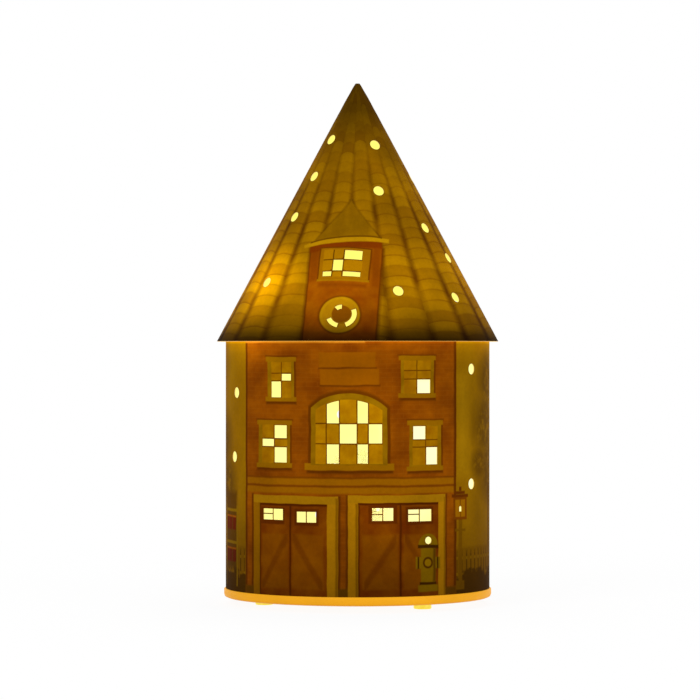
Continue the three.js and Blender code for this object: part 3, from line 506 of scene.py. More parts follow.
def wash(tree, point, size, dark, pale, stretch=(1, 1, 1)):
    """Two tones of a colour in soft patches of about the given size."""
    return add(tree, "Mix", blotches(tree, point, size, 0, 1, stretch=stretch), dark, pale)


def curve(tree, value, stops):
    """A value looked up between stops (place, height) joined by straight lines."""
    start, end = stops[0][0], stops[-1][0]
    top = max(height for _, height in stops)
    share = add(tree, "MapRange", value, start, end, 0.0, 1.0)
    ramp = add(tree, "ValToRGB", share)
    while len(ramp.color_ramp.elements) < len(stops):
        ramp.color_ramp.elements.new(0.5)
    for element, (place, height) in zip(ramp.color_ramp.elements, stops):
        element.position = (place - start) / (end - start)
    for element, (place, height) in zip(ramp.color_ramp.elements, stops):
        element.color = (height / top,) * 3 + (1,)
    return add(tree, "Math", ramp, top)


def light_through(tree, exact, value, stops, spots, patch):
    """How much light comes through the film: the curve's height at the value, by one plus the change inside
    each soft spot (x, y, radius, softness, change), by a cloudy variation in large and in small patches."""
    through = curve(tree, value, stops)
    for x, y, radius, soft, change in spots:
        spot = disc(tree, exact, x, y, radius, soft)
        through = add(tree, "Math", through, add(tree, "Math", spot, change, 1.0, operation="MULTIPLY_ADD"))
    cloud = add(tree, "Math", blotches(tree, exact, *patch), blotches(tree, exact, 2.2, 0.95, 1.05))
    return add(tree, "Math", cloud, through)


def layered(tree, point, ground, layers):
    """Paint layers over a ground colour, the last one on top: each is what it covers, as a node or as flat
    boxes and the softness of their edges, and then its colour."""
    for cover, *soft, colour in layers:
        if soft:
            cover = boxes(tree, point, cover, *soft)
        ground = add(tree, "Mix", cover, ground, colour)
    return ground


def in_mm(tree, place=None):
    """A place in millimetres: on the piece, or on the flat sheet where its place there is given."""
    place = place or add(tree, "TexCoord").outputs["Object"]
    return add(tree, "VectorMath", place, (1000,) * 3)


def flat_point(tree, wobble):
    """Millimetres on the flat sheet, and the same a little off as a brush would be, by the wobble."""
    exact = in_mm(tree, add(tree, "UVMap", uv_map="flat"))
    cloud = add(tree, "TexNoise", inputs=dict(Vector=exact, Scale=0.09, Detail=1.0))
    shift = add(tree, "VectorMath", cloud.outputs["Color"], (wobble,) * 3, (-wobble / 2,) * 3,
                operation="MULTIPLY_ADD")
    return exact, add(tree, "VectorMath", exact, shift, operation="ADD")


def lit_print(tree, paint, glow, exact):
    """Ink on translucent film that is lit from behind: what the eye sees is the ink's colour by the light
    that comes through, so most of it is given out and the rest is reflected."""
    # The ink is darker within about half a millimetre of a cut edge.
    edge = add(tree, "Attribute", attribute_name="edge_mm")
    near_cut = add(tree, "MapRange", edge.outputs["Fac"], 0.1, 0.6, 0.55, 0.0)
    paint = add(tree, "Mix", near_cut, paint, "#6b3600")
    seen = add(tree, "VectorMath", paint, glow)
    grain = add(tree, "TexNoise", inputs=dict(Vector=exact, Scale=1.6, Detail=2.0))
    shade(tree, {
        "Base Color": add(tree, "VectorMath", seen, (0.5, 0.5, 0.5)),
        "Emission Color": seen, "Emission Strength": 0.56, "Roughness": 0.62, "Specular IOR Level": 0.006,
        "Normal": add(tree, "Bump", inputs=dict(Height=grain, Strength=0.15, Distance=0.00005)),
    })


# The printed wall

def stripe(tree, point, x, y, turn, half, soft=0.5):
    """How far a point is covered by a straight stripe: half its width less the distance from its middle
    line, over the soft edge. The line goes through (x, y), turned from level."""
    across = (-math.sin(math.radians(turn)), math.cos(math.radians(turn)), 0)
    middle = x * across[0] + y * across[1]
    far = add(tree, "Math", add(tree, "VectorMath", point, across, operation="DOT_PRODUCT"),
              middle, operation="SUBTRACT")
    far = add(tree, "Math", far, operation="ABSOLUTE")
    return add(tree, "MapRange", far, half - soft / 2, half + soft / 2, 1.0, 0.0)


def beside_front(low, high):
    """The two flat boxes on either side of the brick front, between two heights."""
    return [(FENCE_ENDS[0], FRONT[0], low, high), (FRONT[1], FENCE_ENDS[1], low, high)]


def wall_boxes():
    """Flat boxes of the wall's picture (left, right, low, high), by what they show."""
    frames = [window["frame"] for window in WINDOWS]
    return dict(
        frames=frames,
        bars=[bar for window in WINDOWS for bar in bars(window)],
        glass=[cell[:4] for window in WINDOWS for cell in cells(window) if not cell[4]],
        ledges=([(a - 1.3, b + 1.3, d - 2.4, d) for a, b, c, d in frames]
                + [(a - 1.5, b + 1.4, c, c + 2.4) for a, b, c, d in frames]),
        shade=([(a - 1, b + 1.4, c - 1.6, c) for a, b, c, d in frames]
               + [(b, b + 1.1, c, d - 2) for a, b, c, d in frames]
               + [(a - 1.8, b + 1.8, d, d + 0.7) for a, b, c, d in frames]
               + [(FRONT[0], -71.6, 4.5, 140), (59.2, FRONT[1], 4.5, 140), (-67.2, -65.6, 0, 55.6),
                  (-10.8, -9.4, 0, 55), (-6.4, -5.3, 0, 55.6), (52.4, 53.6, 0, 55.6),
                  (-28.5, 19.6, 67.4, 69.2), (-21, 12.4, 115, 116), (-21.6, 10.4, 124.8, 125.6)]))


def printed_wall():
    """Polypropylene film, screen printed outside: matt, a little grainy, its inks like watercolour washes.
    The picture is a plain brick front with two garage doors, a lamp post, a hydrant, a rack of fire buckets,
    pickets, a hedge and trees."""
    finish, tree = new_finish("printed_polypropylene_wall")
    exact, hand = flat_point(tree, 0.9)
    along, up, _ = add(tree, "SeparateXYZ", exact).outputs
    parts = wall_boxes()

    brick = wash(tree, exact, 16, "#6e3200", "#8e4a00")
    brick = add(tree, "Mix", blotches(tree, exact, 3.0, 0, 0.22, stretch=(0.2, 1, 1)), brick, "#5d2600")
    joints = add(tree, "TexBrick", inputs={
        "Vector": hand, "Scale": 1.0, "Mortar Size": 0.22, "Mortar Smooth": 1.0, "Brick Width": 6.4,
        "Row Height": 2.5}).outputs["Fac"]
    brick = add(tree, "Mix", add(tree, "Math", joints, 0.12), brick, "#a46a20")
    sky = wash(tree, exact, 22, "#835800", "#8e6400", stretch=(1, 0.4, 1))
    door = wash(tree, exact, 11, "#652800", "#7a3e00")
    amber = wash(tree, exact, 8, "#875400", "#9d6c00")
    stone = wash(tree, exact, 9, "#775000", "#8c6202")
    leaves = add(tree, "TexNoise", inputs=dict(Vector=exact, Scale=0.16, Detail=4.0, Roughness=0.7))
    leaves = add(tree, "MapRange", leaves, 0.38, 0.52, 0.0, 1.0)

    crowns = [(96, 93, 17), (103, 68, 17), (86, 72, 9), (100, 119, 14), (-112, 84, 17), (-101, 60, 14),
              (150, 84, 20), (166, 62, 16), (-158, 80, 22), (-190, 70, 20), (-244, 82, 20), (-258, 66, 14)]
    crown = merged(tree, "MAXIMUM", *[
        disc(tree, hand, x, y, radius, radius * 0.9) for x, y, radius in crowns])
    crown = merged(tree, "MINIMUM", crown, add(tree, "Math", leaves, 0.55, 0.4, operation="MULTIPLY_ADD"))
    paint = add(tree, "Mix", crown, sky, "#5c3c00")
    trunks = [(102, 105, 20, 60), (-116, -113, 20, 62), (158, 162, 20, 60), (-172, -168, 20, 66),
              (-252, -248, 20, 64)]
    column = off_middle(tree, add(tree, "Math", along, 1 / PICKET_PITCH))
    point_top = add(tree, "Math", column, -9.0, PICKET_TOP, operation="MULTIPLY_ADD")
    below = add(tree, "MapRange", add(tree, "Math", point_top, up, operation="SUBTRACT"),
                -0.4, 0.4, 0.0, 1.0)
    picket = merged(tree, "MINIMUM", add(tree, "MapRange", column, 0.32, 0.40, 1.0, 0.0), below)
    beyond = boxes(tree, hand, beside_front(0, 32))
    hedge_top = add(tree, "TexNoise", inputs=dict(Vector=exact, Scale=0.12, Detail=3.0))
    hedge_top = add(tree, "Math", hedge_top, 18.0, 2.0, operation="MULTIPLY_ADD")
    hedge = add(tree, "MapRange", add(tree, "Math", hedge_top, up, operation="SUBTRACT"),
                -1.0, 1.0, 0.0, 1.0)
    # Darker towards the bottom: the picture beside the brick front is darkened from 84 mm down to the base.
    lower_darkening = add(tree, "MapRange", up, 0, 84, 0.5, 0.0)
    light = add(tree, "Math", boxes(tree, hand, [(61, 72, 66, 122)], 9), 0.5)
    paint = layered(tree, hand, paint, [
        (lower_darkening, "#5c3600"),
        (light, "#a67a06"),
        (trunks, 1.0, "#4c2c00"),
        (beside_front(-2, 24), 5.0, "#553500"),
        (beside_front(19, 20.6) + beside_front(10, 11.6), 0.6, "#7c5600"),
        (merged(tree, "MINIMUM", picket, beyond), "#744c00"),
        (merged(tree, "MINIMUM", hedge, beyond), "#4a2c00"),
        ([(-103, -84, 13, 56)], 3.0, "#583600"),
        ([(-104.6, -82.8, 44.6, 46.2), (-104.6, -82.8, 26.6, 28.2), (-104.6, -103, 3, 48),
          (-84.4, -82.8, 3, 48)], 0.6, "#7e5a00"),
        ([(x - 2.5, x + 2.5, y, y + 8) for x, y in BUCKETS], 0.7, "#5e1c00"),
        ([(x - 2.8, x + 2.8, y + 7, y + 8) for x, y in BUCKETS], 0.5, "#8a4a00"),
    ])

    walling = layered(tree, hand, brick, [
        ([(*FRONT, 56.4, 59.9), (*FRONT, 61, 64.6)], 1.2, "#8b5400"),
        ([(*FRONT, 59.9, 60.9), (*FRONT, 64.7, 65.5)], 0.8, "#6a3500"),
        (parts["shade"], 1.2, "#582900"),
        ([(-21.5, 9.8, 125.7, 133.9), (-20.9, 11.8, 116, 124.6)], 0.8, "#874a00"),
        # Painted light: a paler orange glow along the top edge of the brick front, left of the middle.
        ([(FRONT[0], 4, 138.9, 146)], 0.9, "#935c10"),
        ([(*FRONT, 0, 4.5)], 1.5, "#5d3800"),
    ])
    leaf_boxes = [(-58.6, -40, 4, 34), (-37.6, -19, 4, 34), (2.6, 22.6, 4, 34), (25.4, 45.4, 4, 34)]
    leaf = boxes(tree, hand, leaf_boxes, 1.6)
    braces = merged(tree, "MAXIMUM", *[
        merged(tree, "MINIMUM", stripe(tree, hand, x, 19, turn, 1.7, 1.6),
               boxes(tree, hand, [(x - 9, x + 9, 4, 34)]))
        for x, turn in ((-49.3, 58), (-28.3, -58), (12.6, 56), (35.4, -56))])
    paint = layered(tree, hand, paint, [
        ([(*FRONT, 0, 145)], 0.4, walling),
        ([(-60.5, -16.9, 0, 50.7), (0.2, 47.5, 0, 51.5)], 0.4, door),
        (add(tree, "Math", leaf, 0.3), "#8e5600"),
        (add(tree, "Math", braces, 0.5), "#5c2600"),
        ([(-39.2, -38.2, 0, 50.7), (23.4, 24.4, 0, 51.5), (-60.5, -16.9, 49.4, 50.7), (0.2, 47.5, 50.2, 51.5),
          (-60.5, -59.6, 0, 50), (0.2, 1.1, 0, 50)], 0.9, "#4a1c00"),
        ([(-59.5, -42.5, 39.4, 48.6), (-36, -21.6, 38.8, 48), (5.8, 22, 40, 50.6),
          (26.8, 44, 39.4, 49.2)], 0.8, "#5a2500"),
        ([(-65.6, -60.5, 0, 54.9)], 0.4, "#865500"),
        ([(-16.9, -10.8, 0, 54.9), (-5.3, 0.2, 0, 55.6), (47.5, 52.4, 0, 55.6)], 0.4, "#a06c04"),
        ([(-65.6, -10.8, 50.7, 54.9), (-5.3, 52.4, 51.5, 55.6)], 0.4, "#976804"),
        ([(-12.2, -10.8, 0, 54), (-1.2, 0.2, 0, 51), (51.4, 52.4, 0, 54), (-61.3, -60.5, 0, 50.7)], 0.9,
         "#7c5000"),
        (parts["frames"], 0.4, stone),
        (parts["ledges"], 0.6, "#855700"),
        (parts["glass"], 0.4, amber),
        (parts["bars"], 0.4, BAR_INK),
        ([(-29.7, 20.2, 69.2, 73)], 0.6, "#8b5a00"),
    ])

    hoop, outer, inner = (
        merged(tree, "MINIMUM", boxes(tree, hand, [span]), disc(tree, hand, ARCH_CENTRE, y, radius, soft))
        for span, y, radius, soft in (
            ((-27.6, 18, 73, 114), 80.8, 32.6, 1.5), ((-26.1, 16.3, 72, 112), 79.4, ARCH_RADIUS, 0.4),
            ((-23.4, 13.7, 72.7, 108), 76, ARCH_RADIUS, 0.4)))
    dome = merged(tree, "MINIMUM", disc(tree, hand, 40.8, 28, 6.2, 0.7),
                  boxes(tree, hand, [(34, 48, 27, 35)]))
    paint = layered(tree, hand, paint, [
        (hoop, "#5f2e00"),
        (outer, stone),
        (inner, wash(tree, exact, 8, "#956000", "#aa7600")),
        (merged(tree, "MINIMUM", boxes(tree, hand, bars(ARCHED, 0.35)), inner), BAR_INK),
        (dome, "#7c5a00"),
        ([(36.2, 45.4, 3, 27.4), (34.4, 47.2, 2.4, 6), (32.8, 48.8, 15, 21.4)], 0.8, "#7c5a00"),
        ([(34.2, 47.4, 26.2, 28), (35.4, 46.2, 6.2, 7.6), (34, 35, 15, 21.4), (46.6, 47.6, 15, 21.4)], 0.6,
         "#3e2000"),
        ([(44, 45.6, 7.6, 26.2)], 1.4, "#573600"),
        (disc(tree, hand, 40.6, 18.2, 3.2, 0.7), "#4a2600"),
        (disc(tree, hand, 40.6, 18.2, 2.1, 0.7), "#8a6400"),
        ([(63, 66.2, 6, 42), (61, 68.2, 2.4, 7.4), (60, 69.2, 34.6, 36)], 0.7, "#6c4600"),
        ([(58.8, 70.4, 41, 53.6)], 0.7, "#6c3600"),
        ([(60.4, 68.8, 42.6, 52.2)], 0.6, "#8e5a00"),
        ([(64.2, 65, 42.6, 52.2)], 0.5, "#6c3a00"),
        ([(57.4, 71.8, 53.4, 55.2), (60.6, 68.6, 55.2, 57), (63.6, 65.6, 57, 59.4)], 0.7, "#5a2800"),
    ])
    through = light_through(tree, exact, up, (
        (0, 0.5), (8, 0.58), (30, 0.78), (60, 0.95), (110, 1.0), (126, 1.0), (133, 1.12), (137, 1.4),
        (138.6, 1.6), (139.2, 2.6), (140, 2.8)), (
        (-72, 152, 20, 28, 0.75), (62, 118, 22, 40, -0.16), (14, 106, 15, 26, 0.26), (14, 44, 9, 18, 0.3),
        (-64, 58, 9, 18, -0.2)), (30, 0.86, 1.14))
    lit_print(tree, paint, through, exact)
    return finish


# The printed roof

def printed_roof():
    """The same film for the roof: rows of rounded tiles that narrow towards the point, and a plain tower with
    a gable, a cornice, a window and a bare round plate."""
    finish, tree = new_finish("printed_polypropylene_roof")
    exact, hand = flat_point(tree, 0.8)
    along, up, _ = add(tree, "SeparateXYZ", hand).outputs
    slant = add(tree, "VectorMath", hand, operation="LENGTH")
    down = add(tree, "Math", up, -1.0)
    angle = add(tree, "Math", along, down, operation="ARCTAN2")
    column = add(tree, "Math", angle, TILE_COLUMNS / (2 * math.pi * ROOF_SIN), TILE_START,
                 operation="MULTIPLY_ADD")
    number = add(tree, "Math", column, operation="FLOOR")
    share = off_middle(tree, column)
    bow = add(tree, "Math", share, share)
    start = add(tree, "TexWhiteNoise", number, noise_dimensions="1D")
    row = add(tree, "Math", slant, 1 / TILE_ROW, start, operation="MULTIPLY_ADD")
    row = add(tree, "Math", bow, -1.1, row, operation="MULTIPLY_ADD")
    course = add(tree, "Math", row, operation="FRACT")
    tile = add(tree, "CombineXYZ", number, add(tree, "Math", row, operation="FLOOR"))
    tone = add(tree, "TexWhiteNoise", tile, noise_dimensions="2D")
    clear = add(tree, "MapRange", slant, 40, 92, 0.12, 1.0)
    clear = add(tree, "Math", clear, blotches(tree, exact, 15, 0.55, 1.0))
    # Two round patches near the hem where the tile lines are fainter.
    for x, y, radius in ((-38, -152, 10), (31, -150, 12)):
        faint_patch = add(tree, "Math", disc(tree, exact, x, y, radius, 16), -0.85, 1.0, operation="MULTIPLY_ADD")
        clear = add(tree, "Math", clear, faint_patch)
    lip = add(tree, "MapRange", course, 0.80, 0.97, 0.0, 0.62)
    gutter = add(tree, "MapRange", share, 0.31, 0.47, 0.0, 0.95)
    shadow = add(tree, "MapRange", course, 0.0, 0.45, 0.3, 0.0)
    tiles = add(tree, "Mix", tone, "#a46c00", "#bd8400")
    tiles = layered(tree, hand, tiles, [
        (add(tree, "Math", shadow, clear), "#8a5600"),
        (add(tree, "Math", lip, clear), "#7a4400"),
        (add(tree, "Math", gutter, clear), "#643400"),
    ])

    squared, leaning = (
        add(tree, "Mapping", hand, (x, y, 0), (0, 0, math.radians(turn)), vector_type="TEXTURE")
        for x, y, turn in (DORMER, TOWER))
    plate = ROUNDEL[0] - 0.9, ROUNDEL[1] - 0.4

    lean_along, lean_up, _ = add(tree, "SeparateXYZ", leaning).outputs
    aside = add(tree, "Math", lean_along, 1.0, operation="SUBTRACT")
    reach = add(tree, "MapRange", lean_up, 56.5, 32.5, 0.0, 1.0)
    reach = add(tree, "Math", add(tree, "Math", reach, 1.2, operation="POWER"), 18.5)
    gap = add(tree, "Math", reach, add(tree, "Math", aside, operation="ABSOLUTE"), operation="SUBTRACT")
    bend = add(tree, "Math", aside, aside)
    under = boxes(tree, leaning, [(-26, 26, 31.6, 57)])
    gable = merged(tree, "MINIMUM", add(tree, "MapRange", gap, -0.6, 0.6, 0.0, 1.0), under)
    hip = merged(tree, "MINIMUM", add(tree, "MapRange", gap, -1.7, 0.5, 0.0, 0.7), under)
    upper, lower = (add(tree, "CombineXYZ", along,
                        add(tree, "Math", bend, fall, up, operation="MULTIPLY_ADD"))
                    for fall in (0.0012, -0.0006))
    cornice = merged(tree, "MINIMUM", boxes(tree, upper, [(-31, 17.6, -130, -104.2)], 0.8),
                   boxes(tree, lower, [(-31, 17.6, -107.5, -80)], 0.8))
    paint = layered(tree, hand, tiles, [
        (hip, "#5c3600"),
        (gable, wash(tree, exact, 9, "#936200", "#a87400")),
    ])
    paint = layered(tree, leaning, paint, [
        ([(-21.4, 21.4, -45, 27.5)], 2.2, "#6e3400"),
        ([(-20, 20, -45, 27.5)], 0.8, wash(tree, exact, 10, "#934400", "#a85a00")),
        ([(-19.6, -15.4, 6, 27.5), (15.4, 19.6, 2, 27.5)], 2.0, "#924600"),
    ])
    paint = layered(tree, lower, paint, [
        ([(-27.4, 13.6, -111.6, -107.4)], 1.2, "#8a3a00"),
        (cornice, "#cc9304"),
        (boxes(tree, upper, [(-27, 13.6, -104.6, -103.6)], 0.6), "#7a4c00"),
    ])
    paint = layered(tree, squared, paint, [
        ([(-14.8, 14.8, -10.8, 10.4)], 0.6, "#7a3c00"),
        ([(-13.9, 13.9, -9.9, 9.6)], 0.4, "#a86c00"),
        ([(-12, 10, -8.6, 8.6)], 0.4, "#b87c00"),
        ([(-14.6, 14.6, -11.3, -9.9)], 0.6, "#ac7200"),
        ([(-13.4, 13.4, -15, -12.4)], 2.0, "#8e4400"),
        (bars(DORMER_WINDOW), 0.4, BAR_INK),
    ])
    paint = layered(tree, hand, paint, [
        (disc(tree, hand, *plate, 12.2, 1.4), "#7a3e00"),
        (disc(tree, hand, *plate, 11.2, 0.8), "#c48c04"),
        (disc(tree, hand, *plate, 9.6, 0.8), "#be8404"),
        (disc(tree, hand, ROUNDEL[0], ROUNDEL[1], 5.4, 0.6), "#8f5000"),
    ])
    reach = add(tree, "VectorMath", exact, operation="LENGTH")
    through = light_through(tree, exact, reach, (
        (0, 0.12), (22, 0.17), (40, 0.36), (60, 0.57), (80, 0.57), (95, 0.56), (108, 0.68), (122, 0.84),
        (135, 0.92), (145, 0.80), (153, 0.62), (160, 0.43), (165, 0.17), (170, 0.05)), (
        (-58, -119, 16, 26, 1.45), (40, -151, 16, 26, -0.2), (72, -134, 18, 26, -0.28),
        (42, -122, 12, 22, -0.12), (-38, -62, 10, 20, -0.15), (26, -50, 9, 18, -0.2)), (26, 0.84, 1.18))
    lit_print(tree, paint, through, exact)
    return finish


def bare_film(name, yellow, pale):
    """Bare inner face of the film, lit fully by the lamp: warm and matt, in soft patches, and paler towards
    the back right at the height of the light sticks."""
    finish, tree = new_finish(name)
    point = in_mm(tree)
    right = add(tree, "VectorMath", point, (0.77, 0.64, 0), operation="DOT_PRODUCT")
    right = add(tree, "MapRange", right, 56, 68, 0.0, 0.8)
    height = add(tree, "SeparateXYZ", point).outputs[2]
    middle = curve(tree, height, ((0, 0.3), (44, 0.4), (70, 1.0), (124, 1.0), (132, 0.15), (300, 0.15)))
    right = add(tree, "Math", right, middle)
    share = add(tree, "Math", right, blotches(tree, point, 34, 0, 0.3), operation="ADD")
    shade(tree, {
        "Base Color": "#98945c", "Emission Color": add(tree, "Mix", share, yellow, pale),
        "Emission Strength": 0.8, "Roughness": 0.7, "Specular IOR Level": 0.1,
    })
    return finish


def cut_edge():
    """Laser-cut edge of the film: light that runs inside the sheet leaves it here. Round an opening it is
    nearly as bright as the inner face, and amber at the sheet's own ends, which the lamp doesn't reach."""
    finish, tree = new_finish("laser_cut_film_edge")
    tone = wash(tree, in_mm(tree, add(tree, "UVMap", uv_map="flat")), 1.5, "#f6d468", "#ffec90")
    end = add(tree, "Attribute", attribute_name="edge_mm").outputs["Fac"]
    end = add(tree, "MapRange", end, 0.2, 1, 0.0, 1.0)
    tone = add(tree, "Mix", end, tone, "#d89428")
    shade(tree, {"Base Color": "#8a7a40", "Emission Color": tone, "Emission Strength": 0.75,
                 "Roughness": 0.5})
    return finish


# Finishes of the moulded, turned and stamped pieces

def made(name, dark, pale, patch, rough, grain, depth, constants, stretch=(1, 1, 1), lit=None):
    """A finish that varies between two colours in patches, with a fine grain in its roughness and height.
    Sizes are in millimetres. Constants go on the shader's own sockets, and a lit colour is given out."""
    finish, tree = new_finish(name)
    point = in_mm(tree)
    share = blotches(tree, point, patch, 0, 1, stretch=stretch)
    height = blotches(tree, point, grain, 0, 1, detail=3.0, stretch=stretch)
    inputs = {
        "Base Color": add(tree, "Mix", share, dark, pale),
        "Roughness": add(tree, "MapRange", height, 0.0, 1.0, *rough),
        "Normal": add(tree, "Bump", inputs=dict(Height=height, Strength=0.5, Distance=depth * 0.001)),
    }
    if lit:
        inputs["Emission Color"] = add(tree, "Mix", share, *lit)
    shade(tree, {**inputs, **constants})
    return finish


def opal_polycarbonate():
    """Opal polycarbonate, injection moulded: the light spreads inside it, so it glows, amber at the rim
    that the light reaches last and paler by the lamp, under a fine satin skin."""
    finish, tree = new_finish("opal_polycarbonate")
    point = in_mm(tree)
    x, y, z = add(tree, "SeparateXYZ", point).outputs
    out = add(tree, "VectorMath", add(tree, "CombineXYZ", x, y), operation="LENGTH")
    rim = add(tree, "MapRange", out, 60, 74.5, 0.0, 1.0)
    under = add(tree, "MapRange", z, 3.9, 5.4, 1.0, 0.0)
    tone = add(tree, "Mix", rim, "#ffdc86", "#efa71c")
    tone = add(tree, "Mix", under, tone, "#e0961a")
    tone = add(tree, "VectorMath", tone, blotches(tree, point, 26, 0.93, 1.04))
    grain = blotches(tree, point, 0.5, 0, 1, detail=3.0)
    shade(tree, {
        "Base Color": add(tree, "VectorMath", tone, (0.5, 0.5, 0.5)),
        "Emission Color": tone, "Emission Strength": 0.52, "Specular IOR Level": 0.05,
        "Roughness": add(tree, "MapRange", grain, 0.0, 1.0, 0.38, 0.5),
        "Normal": add(tree, "Bump", inputs=dict(Height=grain, Strength=0.3, Distance=0.00003)),
    })
    return finish


METAL = {"Metallic": 1.0}
FINISHES = {
    "opal_plastic": opal_polycarbonate(),
    # Clear polyurethane, cast in a dome mould: soft and slightly yellow, it carries the base's glow down
    "clear_rubber": made("clear_polyurethane", "#8a7c34", "#9a8c40", 3, (0.25, 0.4), 0.6, 0.03,
                         {"Emission Strength": 0.72, "Specular IOR Level": 0.2, "IOR": 1.5},
                         lit=("#ffe640", "#fff062")),
    # Steatite, pressed, glazed and fired: off-white with a hard shine, faint specks and a slightly wavy glaze
    "white_ceramic": made("glazed_steatite", "#e4decf", "#efebdf", 0.7, (0.14, 0.24), 2.2, 0.04,
                          {"Coat Weight": 0.5, "Coat Roughness": 0.08, "IOR": 1.55}),
    # Brass strip, stamped and bent: warm yellow with fine lines from rolling and slight tarnish
    "brass": made("stamped_brass", "#b0852f", "#d0aa52", 3, (0.22, 0.38), 0.35, 0.01, METAL, (1, 0.12, 1)),
    # Steel, cold headed and zinc plated: cool grey with a faintly cloudy, satin plating
    "steel": made("zinc_plated_steel", "#a3a8ad", "#bfc2c2", 1.6, (0.28, 0.42), 0.3, 0.01, METAL),
    # Nickel plate on formed brass: warm silver, smooth with faint drawing marks round the piece
    "nickel": made("nickel_plate", "#b2aea4", "#ccc8be", 4, (0.16, 0.3), 0.4, 0.01, METAL, (1, 1, 0.3)),
    # Tin solder, dipped: dull grey with a wrinkled skin
    "solder": made("tin_solder", "#8e8f93", "#b0b1b3", 0.8, (0.35, 0.55), 0.5, 0.08, METAL),
    # Black glass, fused into the cap: almost black, shining, with small ripples
    "black_glass": made("black_glass", "#120e0c", "#2a201a", 1.2, (0.05, 0.12), 1.0, 0.03, {"IOR": 1.52}),
    # Soda-lime glass, blown: colourless and smooth. A lit bulb's glare hides most of it, so little is seen.
    "clear_glass": made("blown_glass", "#f2eee0", "#ffffff", 14, (0.0, 0.02), 9, 0.02,
                        {"Transmission Weight": 1.0, "IOR": 1.5, "Alpha": 0.12}),
    # Phosphor in silicone, moulded over a strip of light-emitting chips: matt yellow and glowing when lit
    "phosphor": made("phosphor_silicone", "#f2b428", "#ffd24c", 0.9, (0.5, 0.65), 0.5, 0.03,
                     {"Emission Strength": 2.0}, lit=("#ffeaa6", "#fff4cc")),
    # Black nylon with glass fibre, moulded in a spark-eroded tool: dark grey sheen over a fine even texture
    "black_plastic": made("glass_filled_nylon", "#18181a", "#262628", 2.4, (0.42, 0.58), 0.3, 0.04, {}),
    # PVC insulation, extruded over stranded wire: soft shine with faint lengthwise streaks
    "red_sleeve": made("red_pvc", "#9a211b", "#b8322a", 2.2, (0.34, 0.46), 0.5, 0.02, {"IOR": 1.53}),
    "black_sleeve": made("black_pvc", "#19191b", "#2a2a2c", 2.2, (0.34, 0.46), 0.5, 0.02, {"IOR": 1.53}),
}


# Studio

def seen_white(tree, shader, share):
    """Camera, gloss and see-through rays meet plain white by the share given, and other rays the shader."""
    rays = add(tree, "LightPath")
    some = merged(tree, "MAXIMUM", *[
        rays.outputs[f"Is {kind} Ray"] for kind in ("Camera", "Glossy", "Transmission")])
    return add(tree, "MixShader", add(tree, "Math", some, share), shader,
               add(tree, "Emission", "#ffffff", 1.0))


def studio():
    """White floor disc, white surroundings, and three soft lamps, at a level where a colour looks as
    written."""
    mesh = bpy.data.meshes.new("floor")
    mesh.from_pydata(np.pad(ring(0, 0, 6, 96), ((0, 0), (0, 1))).tolist(), [], [list(range(96))])
    paper = bpy.data.materials.new("studio_paper")
    paper.use_nodes = True
    tree = paper.node_tree
    tree.nodes.clear()
    matt = add(tree, "BsdfDiffuse", "#fcfcfc")
    away = add(tree, "VectorMath", add(tree, "TexCoord").outputs["Object"], operation="LENGTH")
    share = add(tree, "MapRange", away, 0.15, 0.6, 0.92, 1.0)
    add(tree, "OutputMaterial", seen_white(tree, matt, share))
    mesh.materials.append(paper)
    shown("floor", mesh)

    world = bpy.data.worlds.new("surroundings")
    bpy.context.scene.world = world
    world.use_nodes = True
    tree = world.node_tree
    tree.nodes.clear()
    add(tree, "OutputWorld", seen_white(tree, add(tree, "Background", "#ffffff", 0.5), 1.0))

    for name, place, aim, size, power in (
            ("key_lamp", (-1.1, -1.7, 1.3), (0, 0, 0.12), 1.2, 22),
            ("fill_lamp", (1.6, -1.2, 0.7), (0, 0, 0.12), 1.4, 12),
            ("top_lamp", (0.2, 0.9, 1.9), (0, 0, 0.15), 1.4, 14)):
        lamp = bpy.data.lights.new(name, "AREA")
        lamp.size = size
        lamp.energy = power
        holder = bpy.data.objects.new(name, lamp)
        bpy.context.scene.collection.objects.link(holder)
        holder.location = place
        holder.rotation_euler = (Vector(aim) - Vector(place)).to_track_quat("-Z", "Y").to_euler()

    view = bpy.data.cameras.new("camera")
    view.sensor_width = 36
    view.lens = 162.6
    view.shift_x = -0.0109
    camera = bpy.data.objects.new("camera", view)
    camera.location = (0, -1.800, 0.144)
    camera.rotation_euler = (math.pi / 2, 0, 0)
    bpy.context.scene.collection.objects.link(camera)
    bpy.context.scene.camera = camera
    bpy.context.scene.view_settings.view_transform = "Standard"


# Turned, drawn and copied pieces

def bowed(start, corner, end, t):
    """Quadratic curve: the start by one less t squared, the corner by twice t by one less t, and the end by
    t squared."""
    return (1 - t) ** 2 * start + 2 * t * (1 - t) * corner + t ** 2 * end


def eased(profile, radius, closed=False, steps=3):
    """A profile with eased corners: round each one goes a quadratic curve, whose ends lie the radius away
    from the corner on its two sides, or just under half a side away where that is less."""
    corner = np.array(profile, float)
    before, after = np.roll(corner, 1, axis=0), np.roll(corner, -1, axis=0)
    if not closed:
        before[0], after[-1] = corner[0], corner[-1]
    ends = []
    for other in (before, after):
        way = other - corner
        length = np.maximum(np.hypot(*way.T), 1e-9)[:, None]
        ends.append((corner + way * np.minimum(radius / length, 0.45))[:, None])
    t = np.linspace(0, 1, steps + 1)[None, :, None]
    return bowed(ends[0], corner[:, None], ends[1], t).reshape(-1, 2)


def finished(name, mesh):
    """Merges doubles, turns the faces outwards, and shades smooth where they meet at a small angle."""
    work = bmesh.new()
    work.from_mesh(mesh)
    bmesh.ops.remove_doubles(work, verts=work.verts, dist=2e-6)
    bmesh.ops.recalc_face_normals(work, faces=work.faces)
    work.to_mesh(mesh)
    work.free()
    mesh.polygons.foreach_set("use_smooth", np.ones(len(mesh.polygons), bool))
    mesh.set_sharp_from_angle(angle=SHARP_ANGLE)
    return shown(name, mesh)


